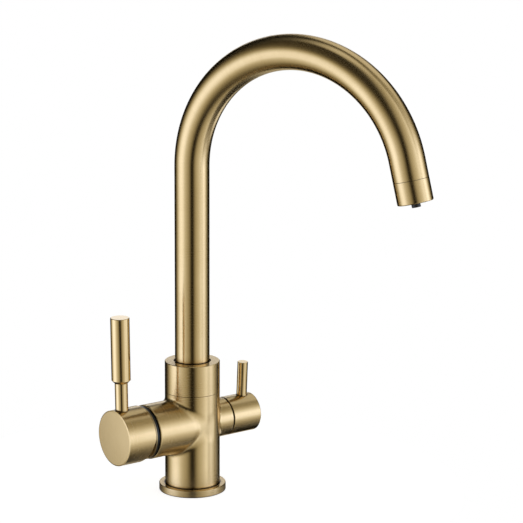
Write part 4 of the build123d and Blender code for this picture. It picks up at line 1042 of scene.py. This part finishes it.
    def _floor(self) -> None:
        """Plain pale disc that keeps the tap's shadow, and the bit of it that the base mirrors."""
        floor = self._disc(self.floor_on, self.floor_down, self._floor_paint("floor"), self.floor_steps)
        floor.visible_glossy = False
        dim = self._floor_paint("floor_at_foot", self.foot_seen)
        foot = self._disc(self.foot_on, self.foot_down, dim, self.foot_steps)
        foot.visible_camera = False
        foot.visible_diffuse = False

    def _walls(self) -> None:
        """Soft white walls with a dark gap behind the camera, as in a light tent, hidden from the camera."""
        paint = bpy.data.materials.new("walls")
        paint.cycles.emission_sampling = "NONE"
        shade = blank_tree(paint)
        place = shade.add("ShaderNodeTexCoord").outputs["Object"]
        centred = shade.vector("SUBTRACT", place, self.middle)
        to_camera = (-math.sin(self.azimuth), -math.cos(self.azimuth), 0.0)
        to_right = (math.cos(self.azimuth), -math.sin(self.azimuth), 0.0)
        near = shade.vector("DOT_PRODUCT", centred, to_camera)
        side = shade.vector("DOT_PRODUCT", centred, to_right)
        up = shade.add("ShaderNodeSeparateXYZ", {0: centred}).outputs["Z"]
        way = shade.sum("ARCTAN2", side, near)
        turn = shade.sum("ABSOLUTE", way)
        square = shade.sum("MULTIPLY_ADD", near, near, shade.sum("MULTIPLY", side, side))
        rise = shade.sum("ARCTAN2", up, shade.sum("SQRT", square))
        on_right = shade.sum("GREATER_THAN", way, 0.0)
        on_left = shade.sum("SUBTRACT", 1.0, on_right)
        level = shade.sum("MULTIPLY", self.left.level(shade, turn, rise, self.brightest), on_left)
        level = shade.sum("MULTIPLY_ADD", self.right.level(shade, turn, rise, self.brightest), on_right, level)
        angles = {Angle.WAY: way, Angle.TURN: turn, Angle.RISE: rise}
        for panel in self.panels:
            level = panel.add_to(shade, angles, self.brightest, level)
        colour = shade.blend(1.0, shade.ramp(level, list(self.tint)), level, "MULTIPLY")
        glow = shade.add("ShaderNodeEmission", {"Color": colour, "Strength": self.brightest})
        shade.add("ShaderNodeOutputMaterial", {0: glow.outputs[0]})
        shape = bmesh.new()
        on, up = self.wall_on, self.wall_up
        outline = ((0.0, -up), (on, -up), (on, up), (0.0, up))
        spin_outline(shape, outline, self.wall_steps)
        bmesh.ops.remove_doubles(shape, verts=shape.verts, dist=self.wall_merge)
        bmesh.ops.recalc_face_normals(shape, faces=shape.faces)
        walls = self._object("walls", shape, paint)
        walls.visible_camera = False
        walls.visible_shadow = False


@dataclass
class SpoutTube:
    """The bent swan-neck tube, with attributes that the brush lines follow."""

    WAY = "tube_way"
    RUN = "tube_run"

    radius: float = 14.0 * MM
    wall: float = 1.0 * MM
    rim: float = 0.3 * MM
    bottom: float = 98.6 * MM
    spring: float = 268.4 * MM
    bend_on: float = 98.4 * MM
    bend: float = math.radians(166.0)
    straight: float = 15.15 * MM
    swivel: float = math.radians(21.0)
    around: int = 96
    bend_steps: int = 112
    foot_steps: int = 24
    straight_steps: int = 3
    rim_steps: int = 2
    merge: float = 0.01 * MM

    def _outward(self) -> Vector:
        """Level direction in which the spout reaches out.

        Returns:
            The direction.
        """
        return Vector((math.sin(self.swivel), -math.cos(self.swivel), 0.0))

    def _aside(self) -> Vector:
        """Level direction square to the spout's plane.

        Returns:
            The direction.
        """
        return self._outward().cross(Vector(UP))

    def _way(self, point: Vector) -> tuple[Vector, Vector]:
        """Length along the tube and direction round it, for one point of its wall.

        Args:
            point: A point of the tube's wall.

        Returns:
            Length along the tube with cosine and sine of the place round it, and the tube's direction there.
        """
        reach = point.dot(self._outward())
        aside = point.dot(self._aside())
        rise = point.z - self.spring
        if rise <= 0.0 and reach < self.bend_on:
            length, off, angle = point.z, -reach, 0.0
        else:
            angle = math.atan2(rise, self.bend_on - reach)
            angle = angle if angle >= 0.0 else angle + math.tau
            if angle <= self.bend:
                length = self.spring + angle * self.bend_on
                off = math.hypot(rise, self.bend_on - reach) - self.bend_on
            else:
                angle = self.bend
                flow = Vector((math.sin(self.bend), math.cos(self.bend)))
                edge = Vector((-math.cos(self.bend), math.sin(self.bend)))
                local = Vector((reach - self.bend_on, rise))
                length = self.spring + self.bend * self.bend_on + local.dot(flow)
                off = local.dot(edge) - self.bend_on
        size = math.hypot(off, aside) or 1.0
        run = self._outward() * math.sin(angle) + Vector(UP) * math.cos(angle)
        return Vector((length, off / size, aside / size)), run

    def build(self, effects: Effects) -> None:
        """Builds the tube: a ring drawn up, spun round the bend and drawn on to the sleeve.

        Args:
            effects: The shared node groups.
        """
        shape = bmesh.new()
        bmesh.ops.create_circle(shape, segments=self.around, radius=self.radius)
        bmesh.ops.translate(shape, verts=shape.verts, vec=(0.0, 0.0, self.bottom))
        ring = list(shape.edges)
        step = Vector((0.0, 0.0, (self.spring - self.bottom) / self.foot_steps))
        for _ in range(self.foot_steps):
            ring = self._draw(shape, ring, step)
        made = bmesh.ops.spin(
            shape,
            geom=[*ring, *{vert for edge in ring for vert in edge.verts}],
            cent=self._outward() * self.bend_on + Vector((0.0, 0.0, self.spring)),
            axis=-self._aside(),
            angle=self.bend,
            steps=self.bend_steps,
        )
        ring = [item for item in made["geom_last"] if isinstance(item, bmesh.types.BMEdge)]
        flow = self._outward() * math.sin(self.bend) + Vector(UP) * math.cos(self.bend)
        for _ in range(self.straight_steps):
            ring = self._draw(shape, ring, flow * (self.straight / self.straight_steps))
        bmesh.ops.remove_doubles(shape, verts=shape.verts, dist=self.merge)
        bmesh.ops.recalc_face_normals(shape, faces=shape.faces)
        for face in shape.faces:
            face.smooth = True
        mesh = bpy.data.meshes.new("swan_neck")
        shape.to_mesh(mesh)
        shape.free()
        ways = [self._way(vert.co) for vert in mesh.vertices]
        for name, number in ((self.WAY, 0), (self.RUN, 1)):
            made = mesh.attributes.new(name, "FLOAT_VECTOR", "POINT")
            made.data.foreach_set("vector", [value for way in ways for value in way[number]])
        tube = bpy.data.objects.new("swan_neck", mesh)
        bpy.context.scene.collection.objects.link(tube)
        wall = tube.modifiers.new("wall", "SOLIDIFY")
        wall.thickness = self.wall
        wall.offset = -1.0
        rim = tube.modifiers.new("rim", "BEVEL")
        rim.width = self.rim
        rim.segments = self.rim_steps
        rim.limit_method = "ANGLE"
        rim.harden_normals = True
        mesh.materials.append(TubeBrass("brushed_tube").material(effects))
        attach(tube, "spout")
        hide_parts("spout_tube")
        LOG.info("built swan_neck")

    @staticmethod
    def _draw(shape: bmesh.types.BMesh, ring: list[bmesh.types.BMEdge], step: Vector) -> list[bmesh.types.BMEdge]:
        """Extrudes a ring of edges by one step.

        Args:
            shape: The shape.
            ring: The open ring's edges.
            step: How far the new ring lies.

        Returns:
            The new ring's edges.
        """
        made = bmesh.ops.extrude_edge_only(shape, edges=ring)["geom"]
        bmesh.ops.translate(shape, verts=[item for item in made if isinstance(item, bmesh.types.BMVert)], vec=step)
        return [item for item in made if isinstance(item, bmesh.types.BMEdge)]


class Cut(Enum):
    """How one solid changes another."""

    ADD = "UNION"
    TAKE = "DIFFERENCE"


@dataclass
class TapBody:
    """Cast body: the column and both arms, ground smooth where they meet, with its pockets and tapped holes."""

    column_r: float = 22.3 * MM
    mixer_arm_r: float = 22.0 * MM
    filter_arm_r: float = 15.8 * MM
    arm_up: float = 56.0 * MM
    mixer_arm_end: float = 46.3 * MM
    filter_arm_end: float = 30.6 * MM
    foot_r: float = 19.0 * MM
    foot_up: float = 6.0 * MM
    seam_up: float = 83.2 * MM
    seam_edge: float = 0.2 * MM
    arm_edge: float = 0.6 * MM
    spigot_r: float = 18.5 * MM
    spigot_up: float = 92.0 * MM
    # bores from the body's middle: radius, start and end
    socket: Bores = ((14.3 * MM, 80.6 * MM, 93.0 * MM), (4.6 * MM, 76.6 * MM, 82.0 * MM))
    mixer_pocket: Bores = ((17.6 * MM, 17.0 * MM, 38.0 * MM), (19.0 * MM, 37.1 * MM, 47.0 * MM))
    filter_pocket: Bores = (
        (10.0 * MM, 16.0 * MM, 24.0 * MM), (10.4 * MM, 23.5 * MM, 29.0 * MM), (12.6 * MM, 28.6 * MM, 31.0 * MM),
    )
    # tapped holes from below: radius, depth, degrees round from the filter arm
    holes: Bores = (
        (4.5 * MM, 13.0 * MM, 215.0), (4.5 * MM, 13.0 * MM, 145.0), (4.5 * MM, 13.0 * MM, 0.0),
        (3.4 * MM, 14.0 * MM, -60.0),
    )
    hole_on: float = 12.0 * MM
    past: float = 1.0 * MM
    cell: float = 1.1 * MM
    around: int = 128
    spigot_around: int = 96
    bore_around: int = 64
    sharp_from: float = math.radians(34)
    seam_reach: float = 3.2 * MM
    seam_least: float = 0.7 * MM
    grinding: int = 40
    filter_share: float = 0.35
    pull: float = 0.5
    merge: float = 0.005 * MM

    def _turn(self, outline: Profile, start: Point, along: Point, steps: int) -> bpy.types.Object:
        """Turns a solid on the lathe.

        Args:
            outline: Radius and length of each corner, from axis to axis.
            start: Where the axis starts.
            along: Direction of the axis.
            steps: Facets round the axis.

        Returns:
            The solid.
        """
        shape = bmesh.new()
        spin_outline(shape, outline, steps, self.cell)
        bmesh.ops.remove_doubles(shape, verts=shape.verts, dist=self.merge)
        bmesh.ops.recalc_face_normals(shape, faces=shape.faces)
        turn = Vector(UP).rotation_difference(Vector(along)).to_matrix().to_4x4()
        bmesh.ops.transform(shape, matrix=Matrix.Translation(start) @ turn, verts=shape.verts)
        mesh = bpy.data.meshes.new("turned")
        shape.to_mesh(mesh)
        shape.free()
        made = bpy.data.objects.new("turned", mesh)
        bpy.context.scene.collection.objects.link(made)
        return made

    def _rod(self, bore: tuple[float, float, float], start: Point, along: Point, steps: int) -> bpy.types.Object:
        """Turns a plain rod.

        Args:
            bore: Its radius, and where it starts and ends along its axis.
            start: Where the axis starts.
            along: Direction of the axis.
            steps: Facets round the axis.

        Returns:
            The rod.
        """
        radius, low, high = bore
        return self._turn(((0.0, low), (radius, low), (radius, high), (0.0, high)), start, along, steps)

    @staticmethod
    def _change(base: bpy.types.Object, tool: bpy.types.Object, how: Cut) -> None:
        """Adds a solid to the body or takes it away, and removes the tool.

        Args:
            base: The body.
            tool: The other solid.
            how: Whether it is added or taken away.
        """
        modifier = base.modifiers.new("change", "BOOLEAN")
        modifier.operation = how.value
        modifier.solver = "EXACT"
        modifier.object = tool
        evaluated = base.evaluated_get(bpy.context.evaluated_depsgraph_get())
        mesh = bpy.data.meshes.new_from_object(evaluated)
        base.modifiers.clear()
        base.data = mesh
        bpy.data.objects.remove(tool)

    def _off_seam(self, point: Vector, arm_r: float) -> float:
        """How far a point lies off the seam of column and arm.

        Args:
            point: The point.
            arm_r: The arm's radius.

        Returns:
            The larger of its distances to the column's and the arm's surface.
        """
        off_column = abs(math.hypot(point.x, point.y) - self.column_r)
        off_arm = abs(math.hypot(point.y, point.z - self.arm_up) - arm_r)
        return max(off_column, off_arm)

    def _grind(self, body: bpy.types.Object) -> None:
        """Smooths the seams of the arms, in passes that draw in on the seam.

        Args:
            body: The body, before its pockets are cut.
        """
        shape = bmesh.new()
        shape.from_mesh(body.data)
        bmesh.ops.triangulate(shape, faces=shape.faces)
        for arm_r, side, share in ((self.mixer_arm_r, -1.0, 1.0), (self.filter_arm_r, 1.0, self.filter_share)):
            on_side = [vert for vert in shape.verts if vert.co.x * side > -self.column_r / 4]
            off = {vert: self._off_seam(vert.co, arm_r) for vert in on_side}
            passes = int(self.grinding * share)
            for number in range(passes):
                reach = (self.seam_reach + (self.seam_least - self.seam_reach) * number / passes) * share
                near = [vert for vert, distance in off.items() if distance < reach]
                bmesh.ops.smooth_vert(
                    shape, verts=near, factor=self.pull, use_axis_x=True, use_axis_y=True, use_axis_z=True
                )
        shape.to_mesh(body.data)
        shape.free()

    def _raw(self) -> bpy.types.Object:
        """Column with both arms, ground at the seams, on its foot and under its threaded top.

        Returns:
            The body before its pockets are cut.
        """
        edge = self.seam_edge
        column = (
            (0.0, self.foot_up), (self.column_r, self.foot_up), (self.column_r, self.seam_up - edge),
            (self.column_r - edge, self.seam_up), (0.0, self.seam_up),
        )
        body = self._turn(column, ORIGIN, UP, self.around)
        arms = ((self.mixer_arm_r, self.mixer_arm_end, -1.0), (self.filter_arm_r, self.filter_arm_end, 1.0))
        for radius, end, way in arms:
            rounded = [
                (radius - self.arm_edge * (1 - math.cos(angle)), end - self.arm_edge * (1 - math.sin(angle)))
                for angle in (math.radians(30 * step) for step in range(4))
            ]
            arm = ((0.0, 0.0), (radius, 0.0), *rounded, (0.0, end))
            self._change(body, self._turn(arm, (0.0, 0.0, self.arm_up), (way, 0.0, 0.0), self.around), Cut.ADD)
        self._grind(body)
        foot = (self.foot_r, 0.0, self.foot_up + edge)
        spigot = (self.spigot_r, self.seam_up - edge, self.spigot_up)
        for rod in (foot, spigot):
            self._change(body, self._rod(rod, ORIGIN, UP, self.spigot_around), Cut.ADD)
        return body

    def _cut(self, body: bpy.types.Object) -> None:
        """Cuts the socket, both pockets and the tapped holes.

        Args:
            body: The raw body.
        """
        level = (0.0, 0.0, self.arm_up)
        cuts = [(bore, ORIGIN, UP) for bore in self.socket]
        cuts += [(bore, level, (-1.0, 0.0, 0.0)) for bore in self.mixer_pocket]
        cuts += [(bore, level, (1.0, 0.0, 0.0)) for bore in self.filter_pocket]
        for radius, depth, degrees in self.holes:
            angle = math.radians(degrees)
            place = (self.hole_on * math.cos(angle), self.hole_on * math.sin(angle), 0.0)
            cuts.append(((radius, -self.past, depth), place, UP))
        for bore, start, along in cuts:
            self._change(body, self._rod(bore, start, along, self.bore_around), Cut.TAKE)

    def build(self, effects: Effects) -> None:
        """Builds the body.

        Args:
            effects: The shared node groups.
        """
        body = self._raw()
        self._cut(body)
        body.name = body.data.name = "cast_body"
        shape = bmesh.new()
        shape.from_mesh(body.data)
        for face in shape.faces:
            face.smooth = True
        for side in shape.edges:
            side.smooth = side.calc_face_angle(0.0) < self.sharp_from
        shape.to_mesh(body.data)
        shape.free()
        body.data.materials.clear()
        body.data.materials.append(BodyBrass("brushed_body").material(effects))
        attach(body, "fixed_body")
        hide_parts("tap_body")
        LOG.info("built cast_body")


@dataclass
class Group:
    """Pieces that belong together, with the finish of each CAD node."""

    LOOKS: ClassVar[dict[Finish, tuple[str, ...]]] = {}

    def build(self, effects: Effects) -> None:
        """Dresses the group's nodes.

        Args:
            effects: The shared node groups.
        """
        for finish, nodes in self.LOOKS.items():
            dress(finish, effects, *nodes)


@dataclass
class Column(Group):
    """Body, base and collar, with what lies between them."""

    body: TapBody = field(default_factory=TapBody)

    LOOKS = {
        Brass("brushed_column"): ("base_ring", "collar"),
        Brass("raw_brass", colour=RAW_COLOUR, roughness=0.35, depth=0.000004): ("filter_stem",),
        BLACK_RUBBER: ("base_seal", "stem_o_ring", "spout_o_rings"),
        WHITE_PLASTIC: ("spout_slide_ring",),
        STEEL: ("spout_screw",),
    }

    def build(self, effects: Effects) -> None:
        """Builds the body and dresses the rest.

        Args:
            effects: The shared node groups.
        """
        self.body.build(effects)
        super().build(effects)


@dataclass
class Spout(Group):
    """Swan-neck, its foot and the inner hose, down to the outlet."""

    tube: SpoutTube = field(default_factory=SpoutTube)

    LOOKS = {
        Brass("raw_foot", colour=RAW_COLOUR, roughness=0.3): ("spout_foot",),
        Moulded(
            "clear_hose", colour=(0.85, 0.86, 0.85), second=(0.8, 0.81, 0.8), roughness=0.2, clear=0.6
        ): ("filter_hose",),
        Brass("brushed_sleeve", turned=Turned.OUTLET): ("outlet_sleeve",),
        BLACK_PLASTIC: ("aerator", "filter_nozzle"),
        Steel("stainless_mesh"): ("aerator_mesh",),
    }

    def build(self, effects: Effects) -> None:
        """Builds the tube and dresses the rest.

        Args:
            effects: The shared node groups.
        """
        self.tube.build(effects)
        super().build(effects)


@dataclass
class MixerSide(Group):
    """Ceramic cartridge on the left arm, its cover, and the handle that turns and tilts it."""

    LOOKS = {
        BLACK_RUBBER: ("cartridge_seals",),
        WHITE_PLASTIC: ("cartridge_base", "cartridge_housing", "cartridge_rotor"),
        BLACK_PLASTIC: ("cartridge_driver",),
        Lipped("cover_black"): ("cartridge_cover",),
        WHITE_CERAMIC: ("cartridge_fixed_disc", "cartridge_moving_disc"),
        RAW_ARM_BRASS: ("cartridge_nut", "cartridge_spindle"),
        STEEL: ("cartridge_pivot_pin", "mixer_grub_screw"),
        BRUSHED_ARM: ("mixer_cap",),
        Polished("polished_lever", turned=Turned.LEVER): ("mixer_lever_stem", "mixer_lever_grip"),
    }


@dataclass
class FilterSide(Group):
    """Ceramic valve on the right arm and its handle."""

    LOOKS = {
        BLACK_RUBBER: ("valve_seat_seal", "valve_o_ring"),
        WHITE_CERAMIC: ("valve_fixed_disc", "valve_moving_disc"),
        RAW_ARM_BRASS: ("valve_body", "valve_spindle"),
        BRUSHED_ARM: ("filter_cap",),
        Polished("polished_pin", turned=Turned.PIN): ("filter_lever",),
        STEEL: ("filter_grub_screw",),
    }


def main() -> None:
    """Builds the studio and the tap."""
    logging.basicConfig(level=logging.INFO, format="%(message)s")
    Studio().build()
    effects = Effects()
    for group in (Column(), Spout(), MixerSide(), FilterSide()):
        group.build(effects)
        LOG.info("finished %s", type(group).__name__)


if __name__ == "__main__":
    main()
